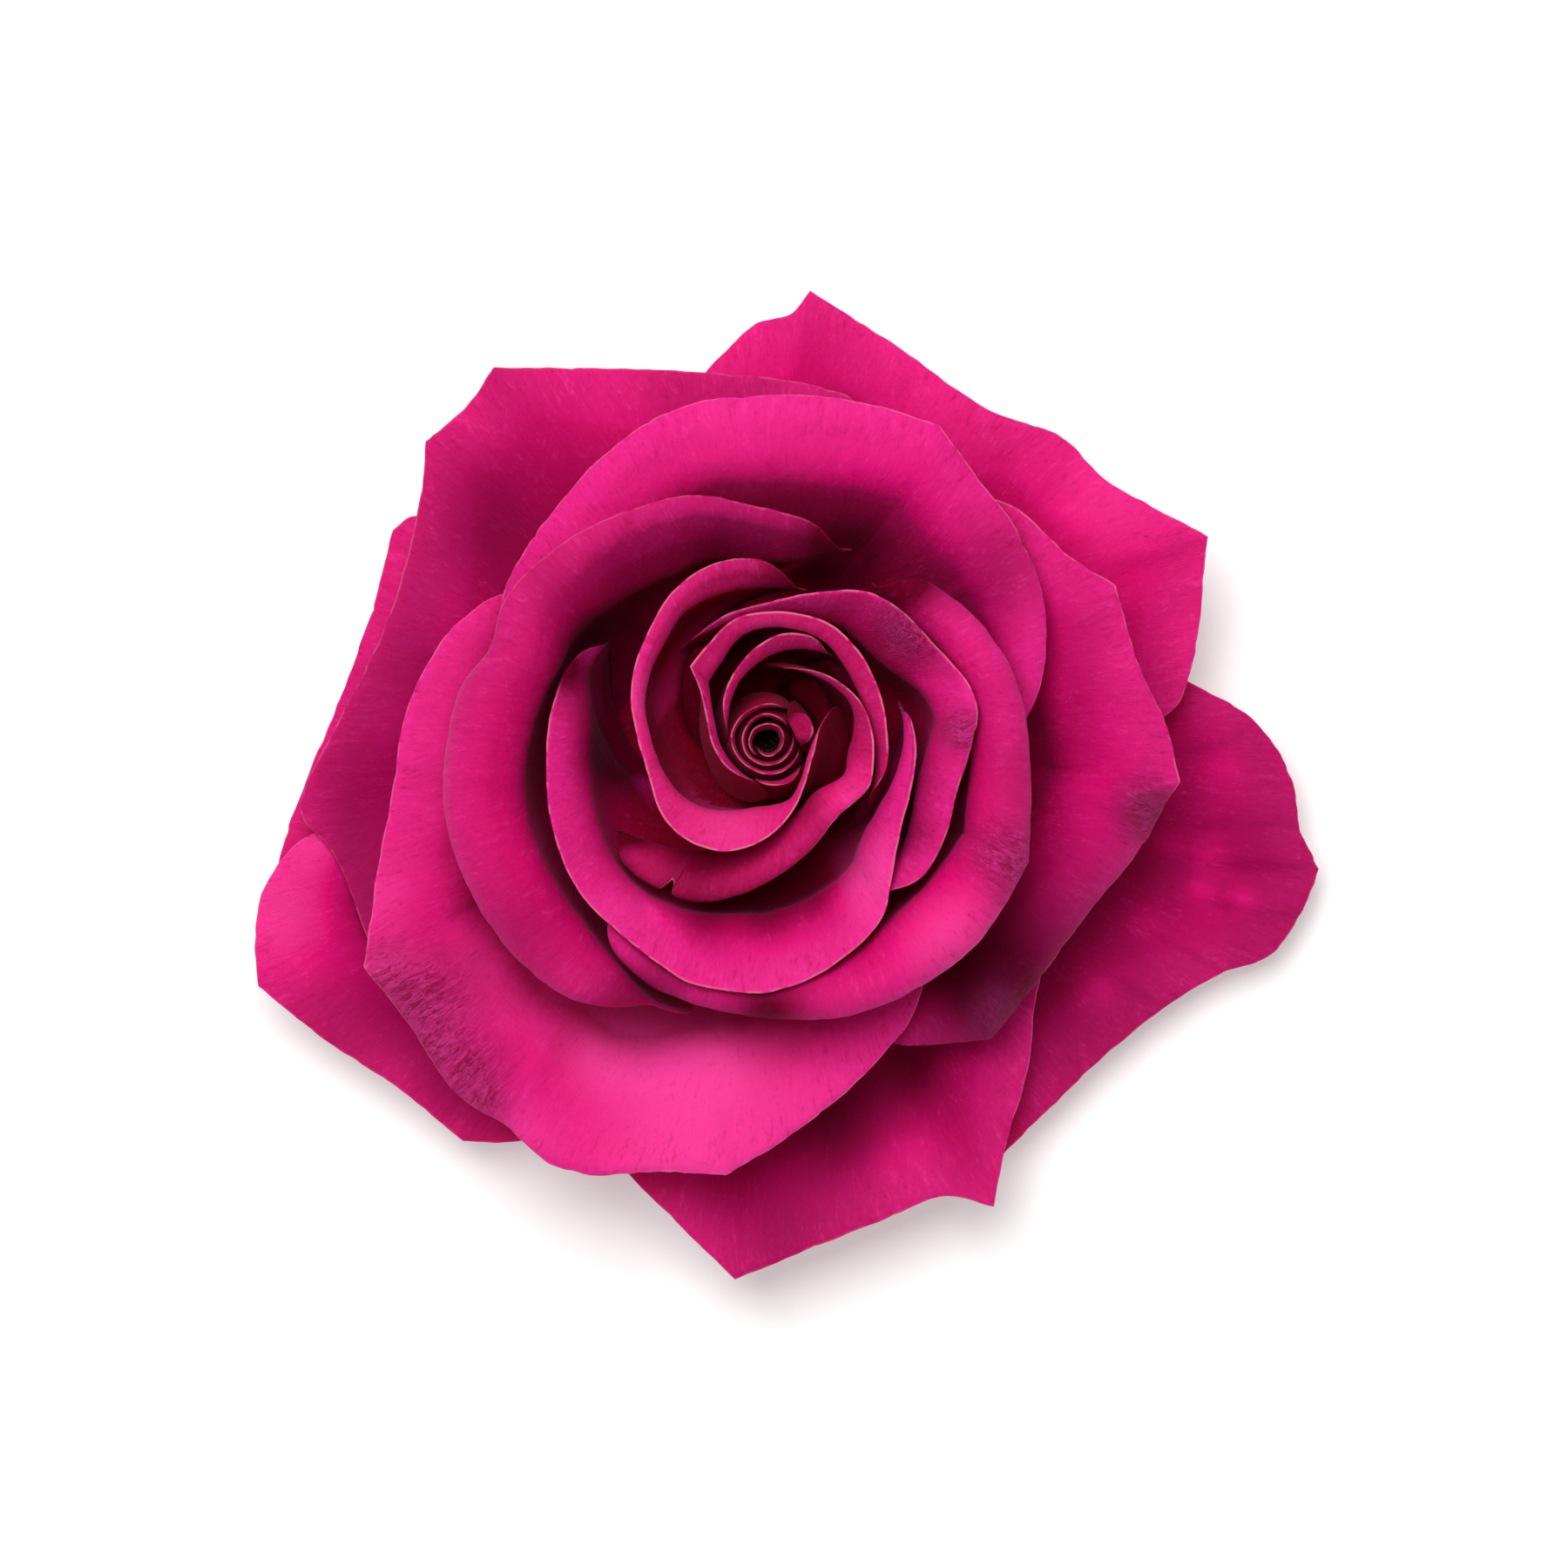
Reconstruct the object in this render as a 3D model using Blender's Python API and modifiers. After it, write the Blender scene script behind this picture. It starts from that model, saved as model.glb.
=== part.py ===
"""A cut rose head, fully open, lying face up on its turned-back sepals.

Run with: blender --background --python part.py

Every petal, sepal and inner organ is an object of its own. The tables are in millimetres, measured from
the upright axis of the bud; the finished model is in metres, with +Z up and its lowest point at Z = 0.
"""

import math
from dataclasses import dataclass

import bmesh
import bpy
from mathutils import Vector

MM = 0.001
BUD_X = -1.55  # the bud's axis, from the middle of the flower's outline, millimetres
BUD_Y = 4.85
SURFACE_GAP = 0.3  # between a petal's foot and the hip

HIP_TOP = 19.0  # height of the middle of the hip's dome
DOME_RISE = 6.4  # from the sepals' seat to the top of the dome
DOME_INNER = 2.0  # radius where the innermost petal stands
DOME_OUTER = 6.6  # radius where the outermost petal stands
COLLAR_HEIGHT = 3.0  # of the upright edge below the dome, which carries the lowest petals and the sepals
STUB_RADIUS = 2.3
HIP_RADIUS = 5.2
TURN_STEPS = 24

WALL_ROWS = 4  # rows of faces from the foot to the flare
RISE_OPENING = 1.75  # degrees that the foot leans out more for each millimetre of the cup's radius
WALL_OPENING = 0.55
REACH_OPENING = 0.0075

SEPAL_LENGTHS = (27.0, 25.0, 26.5, 24.0, 25.5)
SEPAL_TURN = 18.0  # degrees from +X to the first sepal
SEPAL_SPACING = 144.0  # degrees between one sepal and the next in age
SEPAL_WIDTH = 7.6
SEPAL_THICKNESS = 0.9
SEPAL_SEAT = 10.3  # height of a sepal's foot
SEPAL_ROWS = 10

STAMEN_LOBES = 18
STAMEN_RADIUS = 2.2
STAMEN_HEIGHT = 5.0
STYLE_RADIUS = 0.75
STYLE_HEIGHT = 6.0


@dataclass
class Form:
    """How a petal rises from the hip to its margin: angles in degrees from level, lengths in millimetres."""

    thickness: float
    foot_width: float
    rise: float  # angle at which the foot leaves the hip
    reach: float  # how long it keeps that angle, as a share of the wall's chord
    wall: float  # angle of the wall below the flare
    stand: float  # how long it keeps that angle, as a share of the wall's chord
    opening: float  # 1 where a wider petal also leans out more, as in a cup, and 0 where it doesn't
    lean: float  # angle of the flare
    roll: float  # angle of the margin, negative where it is rolled back
    bend: float  # radius of the turn from wall to flare
    curl: float  # radius of the turn at the margin
    turned_rows: tuple  # rows of faces round the bend and round the curl
    end_rows: tuple  # how many rows up the two columns at either side reach, which rounds the outline
    color: tuple


CENTRE_PINK = (0.42, 0.008, 0.055)
INNER_PINK = (0.60, 0.012, 0.12)
PINK = (0.68, 0.016, 0.18)
OUTER_PINK = (0.60, 0.018, 0.17)

UPRIGHT = dict(rise=60.0, reach=0.35, wall=103.0, stand=0.41, opening=1.0)
THIN_LIP = dict(turned_rows=(1, 1), end_rows=(3.0, 5.0))
BUD = Form(0.34, 2.6, lean=80, roll=70, bend=0.8, curl=0.4, color=CENTRE_PINK, **THIN_LIP, **UPRIGHT)
HEART = Form(0.38, 4.0, lean=42, roll=25, bend=1.6, curl=0.7, color=CENTRE_PINK, **THIN_LIP, **UPRIGHT)
INNER = Form(
    0.42, 5.0, lean=35, roll=8, bend=2.4, curl=1.0,
    turned_rows=(2, 1), end_rows=(3.0, 5.0), color=INNER_PINK, **UPRIGHT)
CUP = Form(
    0.45, 6.0, lean=22, roll=-100, bend=3.4, curl=2.4,
    turned_rows=(2, 3), end_rows=(3.0, 5.4), color=PINK, **UPRIGHT)
SECOND = Form(
    0.45, 6.5, rise=12, reach=0.52, wall=68, stand=0.36, opening=0.0,
    lean=14, roll=-55, bend=6.0, curl=2.2, turned_rows=(2, 2), end_rows=(3.4, 6.0), color=PINK)
GUARD = Form(
    0.45, 7.0, rise=8, reach=0.42, wall=18, stand=0.30, opening=0.0,
    lean=6, roll=-45, bend=8.0, curl=1.6, turned_rows=(1, 2), end_rows=(5.0, 8.0), color=OUTER_PINK)
DROOPING = Form(
    0.45, 7.0, rise=-2, reach=0.42, wall=-4, stand=0.30, opening=0.0,
    lean=-8, roll=-40, bend=12.0, curl=1.6, turned_rows=(1, 2), end_rows=(5.0, 8.0), color=OUTER_PINK)

# Each petal: name, form, place on the dome from 0 (innermost) to 1 (outermost), how far its belly swells
# beyond the form's at the rim's first and last point, and the rim, anticlockwise seen from above, as points
# (x, y, height of the crest, width of the flare).
PETALS = (
    ("bud_petal_1", BUD, 0.01, (0.0, 0.0), (
        (-1.7, -0.6, 36.0, 0.5), (-0.6, -1.7, 36.8, 0.5), (0.6, -1.6, 37.0, 0.5), (1.6, -0.7, 37.0, 0.5),
        (1.8, 0.6, 37.2, 0.5), (0.9, 1.7, 37.5, 0.6), (-0.5, 1.6, 37.2, 0.5), (-1.7, 0.5, 36.0, 0.4))),
    ("bud_petal_2", BUD, 0.07, (0.0, 0.0), (
        (2.1, 1.9, 36.0, 0.4), (0.3, 2.8, 37.8, 0.4), (-1.7, 2.2, 38.0, 0.4), (-2.7, 0.3, 38.0, 0.4),
        (-2.1, -1.8, 38.0, 0.4), (-0.3, -2.7, 37.8, 0.4), (1.1, -2.7, 37.4, 0.4),
        (2.5, -2.0, 36.4, 0.4))),
    ("bud_petal_3", BUD, 0.15, (0.0, -0.4), (
        (1.5, 4.1, 36.0, 0.4), (-0.4, 3.8, 37.8, 0.4), (-2.5, 3.0, 38.5, 0.4), (-4.0, 0.8, 38.8, 0.4),
        (-3.5, -1.5, 38.6, 0.4), (-2.1, -3.0, 38.4, 0.4), (-0.7, -3.7, 38.2, 0.4), (0.8, -3.9, 38.0, 0.4),
        (2.8, -3.0, 36.6, 0.4))),
    ("bud_petal_4", BUD, 0.11, (0.0, 0.0), (
        (4.1, -1.5, 37.0, 0.7), (4.5, 0.1, 39.2, 1.0), (4.1, 1.8, 39.6, 1.0), (3.2, 3.0, 39.2, 0.8),
        (2.1, 3.3, 36.5, 0.5))),
    ("bud_petal_5", BUD, 0.22, (0.3, 0.0), (
        (-1.5, -4.1, 36.2, 0.4), (-0.3, -4.6, 38.6, 0.4), (1.2, -4.8, 39.0, 0.5), (2.6, -4.2, 39.0, 0.5),
        (3.5, -3.0, 37.2, 0.4))),
    ("heart_petal_top", HEART, 0.27, (0.0, -0.2), (
        (8.4, 8.4, 39.0, 0.8), (6.7, 10.4, 39.4, 0.8), (4.5, 11.6, 40.0, 0.9), (2.0, 11.9, 41.2, 0.8),
        (-0.8, 10.4, 41.4, 0.7), (-3.3, 7.9, 41.0, 0.7), (-4.7, 5.0, 40.4, 0.7), (-5.1, 2.0, 38.8, 0.6),
        (-4.6, -0.8, 38.0, 0.5))),
    ("heart_petal_left", HEART, 0.42, (0.2, -0.5), (
        (6.4, 17.6, 40.4, 2.0), (2.5, 18.8, 41.0, 2.6), (-1.6, 19.8, 41.0, 3.0), (-6.2, 19.0, 42.6, 3.0),
        (-10.4, 16.0, 43.6, 2.4), (-12.9, 11.8, 44.0, 2.0), (-14.5, 7.6, 44.0, 1.6),
        (-14.8, 4.0, 44.0, 1.3), (-14.1, 0.2, 44.0, 1.2), (-13.0, -3.6, 43.6, 1.4),
        (-11.0, -8.8, 43.0, 3.2), (-8.0, -11.2, 43.0, 4.2), (-4.8, -12.0, 43.0, 4.6),
        (-1.8, -11.4, 42.8, 4.0), (0.8, -9.8, 42.4, 2.6), (2.8, -7.4, 41.6, 1.0), (4.0, -4.6, 40.8, 0.5),
        (4.8, -1.8, 40.2, 0.4), (6.0, 1.4, 39.6, 0.4), (7.4, 4.4, 38.6, 0.4))),
    ("heart_petal_notched", HEART, 0.55, (0.0, -0.8), (
        (-16.2, -7.6, 37.0, 3.8), (-15.6, -11.0, 37.2, 4.2), (-14.2, -14.0, 37.2, 4.6),
        (-12.4, -16.2, 36.6, 5.0), (-11.1, -15.4, 37.0, 5.2), (-9.8, -17.0, 37.2, 5.6),
        (-7.4, -17.5, 37.8, 6.0), (-3.6, -16.8, 38.8, 5.4), (0.4, -15.0, 40.0, 4.6),
        (4.3, -12.1, 41.2, 4.0), (7.6, -8.2, 42.2, 3.4), (11.0, -4.8, 42.6, 2.8), (11.4, -1.8, 42.6, 2.6),
        (11.2, 1.2, 42.2, 1.8), (10.2, 3.8, 41.2, 1.0), (7.6, 6.4, 39.6, 0.6), (3.4, 8.2, 38.2, 0.5),
        (-1.6, 8.6, 36.6, 0.4))),
    ("heart_petal_folded", HEART, 0.35, (1.2, 0.0), (
        (10.9, -8.0, 39.6, 0.8), (12.2, -5.6, 40.2, 0.8), (12.9, -2.4, 40.8, 0.9), (12.9, 1.0, 41.8, 0.9),
        (12.1, 5.0, 42.4, 1.0), (10.2, 9.0, 42.8, 1.0), (6.9, 12.4, 43.0, 1.1), (2.6, 13.8, 43.0, 1.3),
        (-1.0, 13.8, 43.2, 1.5), (-3.4, 13.2, 43.5, 1.8), (-6.2, 10.7, 43.6, 2.2), (-8.4, 8.0, 43.8, 2.4),
        (-7.4, 5.6, 42.6, 1.2), (-6.8, 3.0, 41.6, 0.8), (-6.2, 0.0, 40.6, 0.7), (-5.1, -2.2, 39.6, 0.6),
        (-3.2, -4.1, 38.6, 0.5), (0.6, -5.8, 38.0, 0.4))),
    ("inner_petal_right", INNER, 0.60, (0.0, -0.7), (
        (11.2, -20.0, 41.0, 2.4), (13.8, -17.4, 41.4, 2.8), (17.2, -14.2, 42.2, 3.4),
        (19.4, -9.8, 43.2, 4.0), (20.4, -5.6, 44.2, 4.2), (22.0, -0.6, 45.0, 4.2), (22.6, 3.2, 45.0, 4.0),
        (21.6, 6.2, 44.6, 3.4), (20.0, 8.2, 44.2, 2.6), (17.2, 11.2, 44.4, 2.6), (14.2, 14.2, 44.2, 3.0),
        (11.2, 15.9, 43.8, 3.2), (6.0, 16.0, 43.2, 2.2), (-0.2, 14.9, 41.6, 1.0), (-4.0, 14.1, 40.2, 0.7),
        (-8.2, 11.8, 39.6, 0.6), (-12.0, 6.4, 39.0, 0.5))),
    ("inner_petal_bowl", INNER, 0.68, (0.0, 0.0), (
        (-14.8, 13.4, 41.0, 2.0), (-18.2, 10.6, 41.4, 2.6), (-22.0, 7.0, 42.0, 3.6),
        (-23.7, 2.2, 42.8, 4.4), (-24.0, -3.0, 43.4, 4.8), (-23.4, -9.2, 43.4, 4.8),
        (-20.2, -16.8, 42.8, 4.8), (-16.4, -20.6, 42.6, 4.8), (-12.4, -23.8, 42.4, 6.0),
        (-8.6, -26.2, 42.2, 7.6), (-4.6, -27.1, 42.0, 8.2), (-0.8, -27.4, 42.0, 8.4),
        (3.2, -26.4, 42.0, 8.2), (8.4, -23.4, 42.2, 7.4), (12.5, -18.8, 42.4, 6.2),
        (13.3, -15.0, 42.6, 5.0), (14.4, -9.4, 42.6, 3.0), (15.6, -4.6, 42.6, 1.8),
        (16.1, -0.4, 42.0, 1.4), (15.2, 4.4, 41.0, 0.7), (13.8, 7.4, 40.4, 0.6))),
    ("cup_petal_right", CUP, 0.75, (0.0, 0.0), (
        (-20.2, -17.2, 40.0, 2.6), (-18.2, -20.8, 40.2, 3.0), (-15.6, -24.2, 40.2, 3.4),
        (-12.5, -26.7, 40.2, 4.0), (-6.0, -29.2, 40.4, 4.6), (1.4, -30.3, 41.2, 5.0),
        (9.0, -29.8, 42.0, 5.4), (16.4, -26.7, 43.0, 6.4), (22.0, -22.7, 43.8, 6.8),
        (26.2, -16.8, 44.2, 6.4), (27.8, -12.6, 44.4, 6.0), (28.5, -5.0, 44.6, 5.4),
        (28.1, 1.2, 44.6, 5.0), (26.6, 7.0, 44.4, 4.8), (23.4, 12.2, 43.8, 4.8), (19.4, 16.0, 43.0, 4.6),
        (15.0, 18.6, 42.2, 3.8), (10.2, 20.6, 41.4, 3.0))),
    ("cup_petal_left", CUP, 0.82, (0.0, 0.0), (
        (12.8, 21.8, 41.0, 2.6), (8.2, 22.9, 41.6, 3.4), (3.4, 24.2, 42.0, 4.4), (-2.0, 25.5, 41.8, 5.6),
        (-8.0, 26.5, 43.2, 6.2), (-14.6, 25.0, 44.0, 6.6), (-22.0, 21.5, 44.6, 6.8),
        (-28.2, 15.6, 44.8, 6.8), (-30.6, 9.2, 44.8, 7.0), (-32.8, 6.7, 45.0, 7.2),
        (-34.6, 0.8, 45.0, 7.2), (-35.2, -5.0, 44.8, 7.2), (-34.2, -12.0, 44.2, 7.2),
        (-31.0, -18.8, 43.4, 7.0), (-25.6, -25.2, 42.2, 6.4), (-18.8, -29.8, 41.0, 4.4),
        (-13.4, -31.8, 40.0, 2.8), (-6.6, -33.0, 39.0, 2.0))),
    ("second_petal_top", SECOND, 0.88, (0.0, 0.0), (
        (28.0, -4.6, 34.0, 2.4), (28.8, 1.4, 35.0, 3.0), (30.0, 8.0, 36.0, 5.0), (29.9, 15.8, 37.0, 7.0),
        (27.6, 21.8, 38.2, 7.8), (23.4, 27.6, 39.2, 8.4), (18.6, 34.1, 40.4, 9.2),
        (10.4, 36.6, 41.0, 9.4), (0.0, 37.4, 41.0, 9.4), (-8.6, 36.4, 40.8, 9.2),
        (-16.6, 32.0, 40.2, 9.0), (-23.6, 24.6, 39.2, 8.0), (-28.2, 17.4, 38.0, 6.2),
        (-30.2, 12.0, 36.8, 4.4), (-30.6, 7.0, 35.6, 3.0))),
    ("second_petal_left", SECOND, 0.90, (0.0, 0.0), (
        (-28.4, 20.6, 27.4, 3.6), (-32.4, 15.8, 28.4, 4.6), (-36.4, 9.8, 29.2, 6.4),
        (-39.4, 3.6, 29.4, 7.8), (-41.0, -5.0, 29.4, 9.4), (-42.6, -13.6, 29.2, 11.0),
        (-44.2, -24.7, 28.8, 13.6), (-39.2, -31.4, 27.8, 13.8), (-33.6, -39.2, 27.4, 14.4),
        (-28.6, -42.2, 27.2, 15.0), (-24.4, -45.9, 27.4, 15.6), (-20.0, -47.4, 27.6, 16.0),
        (-12.0, -47.2, 28.2, 16.4), (-4.7, -47.4, 28.8, 16.8), (2.4, -43.2, 28.8, 14.6),
        (9.2, -37.8, 28.8, 11.2), (14.4, -32.2, 28.8, 7.6), (17.4, -28.4, 28.6, 5.6),
        (20.4, -24.6, 28.4, 4.2))),
    ("second_petal_right", SECOND, 0.91, (0.0, 0.0), (
        (9.6, -35.6, 23.6, 5.0), (15.8, -33.8, 24.6, 6.4), (24.5, -32.7, 25.6, 9.0),
        (30.4, -25.2, 26.4, 10.4), (36.0, -17.6, 27.8, 11.6), (41.4, -10.8, 29.4, 12.8),
        (44.9, -4.4, 30.8, 13.6), (43.4, 1.4, 31.8, 13.0), (40.7, 7.6, 32.8, 12.0),
        (39.1, 12.2, 33.2, 11.4), (37.8, 16.9, 33.6, 11.0), (33.0, 20.0, 33.0, 9.4),
        (27.6, 25.0, 32.0, 7.4), (20.8, 31.4, 31.0, 5.4))),
    ("guard_petal_upper_left", GUARD, 0.96, (0.0, 0.0), (
        (12.2, 36.4, 20.6, 8.0), (5.6, 38.6, 21.4, 10.0), (-6.6, 40.1, 21.6, 12.0),
        (-18.0, 40.6, 21.4, 15.0), (-29.9, 40.6, 20.6, 19.0), (-33.0, 36.4, 19.6, 19.0),
        (-37.3, 32.7, 18.8, 20.0), (-37.6, 28.4, 18.2, 18.0), (-38.7, 22.8, 17.6, 17.0),
        (-40.6, 15.4, 17.0, 16.0), (-43.4, 8.8, 16.6, 16.0), (-47.2, 1.2, 16.2, 17.0),
        (-51.3, -9.2, 15.8, 20.0), (-48.2, -11.2, 15.8, 17.0), (-44.6, -16.4, 15.6, 13.0))),
    ("guard_petal_bottom", GUARD, 0.96, (0.0, 0.0), (
        (-17.0, -44.4, 14.6, 12.0), (-10.4, -52.0, 15.4, 14.6), (-3.7, -58.7, 16.0, 17.0),
        (5.0, -55.0, 16.2, 17.0), (13.4, -51.8, 16.2, 17.0), (19.0, -49.6, 16.0, 17.0),
        (24.5, -50.7, 15.2, 17.0), (26.0, -43.4, 15.2, 15.4), (28.4, -35.8, 15.4, 13.0),
        (31.6, -27.4, 16.0, 11.0), (34.2, -21.6, 16.2, 9.4))),
    ("guard_petal_upper_right", GUARD, 1.0, (0.0, 0.0), (
        (43.4, 0.4, 14.2, 11.0), (46.0, 8.0, 15.6, 14.0), (47.9, 22.3, 17.4, 20.0),
        (42.2, 25.2, 17.8, 19.0), (36.7, 28.4, 17.8, 18.6), (32.4, 32.8, 17.8, 18.6),
        (24.2, 35.9, 17.8, 17.0), (14.4, 42.6, 17.8, 18.0), (4.6, 49.0, 17.8, 20.0),
        (2.6, 46.5, 17.4, 18.0), (-1.4, 45.1, 17.0, 17.0), (-5.4, 41.0, 16.6, 15.0))),
    ("guard_petal_lower_left", GUARD, 1.0, (0.0, 0.0), (
        (-49.2, -9.0, 13.0, 12.0), (-52.6, -13.2, 13.6, 14.0), (-55.2, -17.4, 13.8, 16.0),
        (-56.8, -22.0, 13.4, 17.0), (-55.4, -26.8, 12.6, 18.0), (-48.6, -32.4, 11.6, 18.0),
        (-40.8, -37.5, 10.8, 18.0), (-33.3, -43.5, 10.4, 17.0), (-28.0, -43.6, 10.6, 15.0),
        (-21.6, -42.2, 11.0, 12.0))),
    ("guard_petal_right", DROOPING, 1.25, (0.0, 0.0), (
        (21.4, -43.4, 8.4, 10.0), (25.6, -44.9, 8.4, 12.0), (36.0, -34.9, 8.2, 16.0),
        (43.4, -28.8, 7.8, 18.0), (50.0, -25.0, 7.2, 20.0), (54.4, -23.4, 6.6, 20.0),
        (57.7, -19.2, 6.4, 20.0), (59.9, -13.9, 6.8, 20.0), (58.2, -10.0, 7.2, 20.0),
        (57.2, -4.6, 7.8, 19.0), (52.4, 2.8, 8.6, 16.0), (46.0, 6.3, 9.4, 12.0),
        (41.0, 9.4, 10.0, 10.0))),
    ("guard_petal_left", DROOPING, 1.25, (0.0, 0.0), (
        (-37.2, 26.0, 12.0, 10.0), (-40.9, 23.0, 12.2, 13.0), (-43.4, 13.6, 11.4, 14.0),
        (-46.6, 4.8, 10.6, 15.0), (-50.4, -4.4, 9.6, 16.0), (-52.6, -10.4, 8.8, 16.0),
        (-53.4, -13.8, 8.4, 15.0), (-51.6, -18.6, 8.0, 12.0))),
)


def material(name, color, roughness):
    """A plain finish for one piece."""
    finish = bpy.data.materials.new(name)
    finish.use_nodes = True
    shader = finish.node_tree.nodes["Principled BSDF"]
    shader.inputs["Base Color"].default_value = (*color, 1.0)
    shader.inputs["Roughness"].default_value = roughness
    shader.inputs["Metallic"].default_value = 0.0
    finish.diffuse_color = (*color, 1.0)
    return finish


def add_object(name, mesh, color, roughness=0.55):
    """Put a mesh into the flower's collection, on the bud's axis, with a finish of its own."""
    mesh.shade_smooth()
    mesh.materials.append(material(name, color, roughness))
    piece = bpy.data.objects.new(name, mesh)
    piece.location = (BUD_X * MM, BUD_Y * MM, 0.0)
    bpy.data.collections["rose"].objects.link(piece)
    return piece


def solidify(piece, thickness):
    """Give an open surface its thickness, half to each side."""
    shell = piece.modifiers.new("thickness", "SOLIDIFY")
    shell.thickness = thickness * MM
    shell.offset = 0.0


def dome(place):
    """A point (radius, height) on the dome, for a place on it from 0 to 1, or past 1 down its collar."""
    angle = math.radians(90.0 * min(1.0, place))
    radius = DOME_INNER + (DOME_OUTER - DOME_INNER) * math.sin(angle)
    height = HIP_TOP - DOME_RISE * (1.0 - math.cos(angle))
    return Vector((radius, height - COLLAR_HEIGHT * max(0.0, place - 1.0)))


def foot_of(form, place):
    """The middle of a petal's foot, which stands off the dome by a gap."""
    slope = min(1.0, place) * 90.0
    return dome(place) + direction(90.0 - slope) * (SURFACE_GAP + form.thickness / 2)


def direction(degrees):
    """Unit vector (outward, up) at an angle from level."""
    return Vector((math.cos(math.radians(degrees)), math.sin(math.radians(degrees))))


def arc(start, angle_from, angle_to, radius, rows):
    """Points after start along an arc whose direction turns from one angle to the other."""
    points = []
    a = math.radians(angle_from)
    for row in range(1, rows + 1):
        b = math.radians(angle_from + (angle_to - angle_from) * row / rows)
        across = radius * (math.sin(a) - math.sin(b))
        up = radius * (math.cos(b) - math.cos(a))
        points.append(Vector((start.x + across, start.y + up)))
    return points


def flare(form, wall, width):
    """The flare and rolled margin, from the top of the wall, as wide as given; and its crest's height."""
    bend_rows, curl_rows = form.turned_rows
    widest = max(form.roll, -90.0)
    bend_width = abs(math.sin(math.radians(wall)) - math.sin(math.radians(form.lean)))
    curl_width = math.sin(math.radians(form.lean)) - math.sin(math.radians(widest))
    turned = form.bend * bend_width + form.curl * curl_width
    share = min(1.0, 0.92 * width / turned)
    straight = (width - turned * share) / math.cos(math.radians(form.lean))
    points = arc(Vector((0.0, 0.0)), wall, form.lean, form.bend * share, bend_rows)
    points.append(points[-1] + direction(form.lean) * straight)
    crest_angle = min(form.lean, max(0.0, form.roll))
    crest = arc(points[-1], form.lean, crest_angle, form.curl * share, 1)[0].y
    points += arc(points[-1], form.lean, form.roll, form.curl * share, curl_rows)
    return points, crest


def profile(form, place, belly, rim_radius, crest_height, width):
    """Points (radius, height) of a petal from its foot to its margin, in an upright plane on the axis."""
    opening = form.opening * (rim_radius - width)
    wall = form.wall - WALL_OPENING * opening
    outer, crest = flare(form, wall, width)
    top = Vector((rim_radius - width, crest_height - crest))
    foot = foot_of(form, place)
    chord = (top - foot).length
    low = foot + direction(form.rise - RISE_OPENING * opening) * (form.reach + REACH_OPENING * opening) * chord
    high = top - direction(wall) * form.stand * chord
    high.y = max(high.y, min(low.y, top.y))
    low.x += belly
    high.x += belly
    points = []
    for row in range(WALL_ROWS + 1):
        t = row / WALL_ROWS
        s = 1.0 - t
        points.append(foot * s**3 + low * 3 * s * s * t + high * 3 * s * t * t + top * t**3)
    return points + [top + point for point in outer]


def along(points, position):
    """The point at a position along a polyline, counted in its steps."""
    step = min(int(position), len(points) - 2)
    return points[step].lerp(points[step + 1], position - step)


def turns(rim):
    """The rim's azimuths in radians, going on past a full turn."""
    angles = [math.atan2(rim[0][1], rim[0][0])]
    for x, y, _, _ in rim[1:]:
        step = math.atan2(y, x) - angles[-1]
        angles.append(angles[-1] + (step + math.pi) % math.tau - math.pi)
    return angles


def add_petal(name, form, place, bellies, rim):
    """A grid of one column for each point of the rim, bent up from a narrow foot into the petal."""
    rows = WALL_ROWS + sum(form.turned_rows) + 1
    angles = turns(rim)
    middle = (angles[0] + angles[-1]) / 2
    foot_share = form.foot_width / foot_of(form, place).x / (angles[-1] - angles[0])
    grid = bmesh.new()
    bmesh.ops.create_grid(grid, x_segments=len(rim) - 1, y_segments=rows, size=0.5)
    for vertex in grid.verts:
        column = round((vertex.co.x + 0.5) * (len(rim) - 1))
        row = round((vertex.co.y + 0.5) * rows)
        x, y, height, width = rim[column]
        from_side = min(column, len(rim) - 1 - column)
        reached = row * (form.end_rows[from_side] / rows if from_side < len(form.end_rows) else 1.0)
        belly = bellies[0] + (bellies[1] - bellies[0]) * column / (len(rim) - 1)
        point = along(profile(form, place, belly, math.hypot(x, y), height, width), reached)
        widening = math.sin(math.pi / 2 * min(1.0, reached / WALL_ROWS))
        share = foot_share + (1.0 - foot_share) * widening
        angle = middle + (angles[column] - middle) * share
        vertex.co = (point.x * math.cos(angle) * MM, point.x * math.sin(angle) * MM, point.y * MM)
    mesh = bpy.data.meshes.new(name)
    grid.to_mesh(mesh)
    grid.free()
    solidify(add_object(name, mesh, form.color), form.thickness)


def add_turned(name, outline, color, base=0.0):
    """A turned piece from the right-hand outline (radius, height), top to bottom, both ends on the axis."""
    mesh = bpy.data.meshes.new(name)
    points = [(radius * MM, 0.0, (base + height) * MM) for radius, height in outline]
    mesh.from_pydata(points, [(i, i + 1) for i in range(len(points) - 1)], [])
    piece = add_object(name, mesh, color)
    screw = piece.modifiers.new("turn", "SCREW")
    screw.steps = TURN_STEPS
    screw.render_steps = TURN_STEPS
    screw.use_merge_vertices = True
    screw.merge_threshold = 0.00001
    return piece


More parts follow.
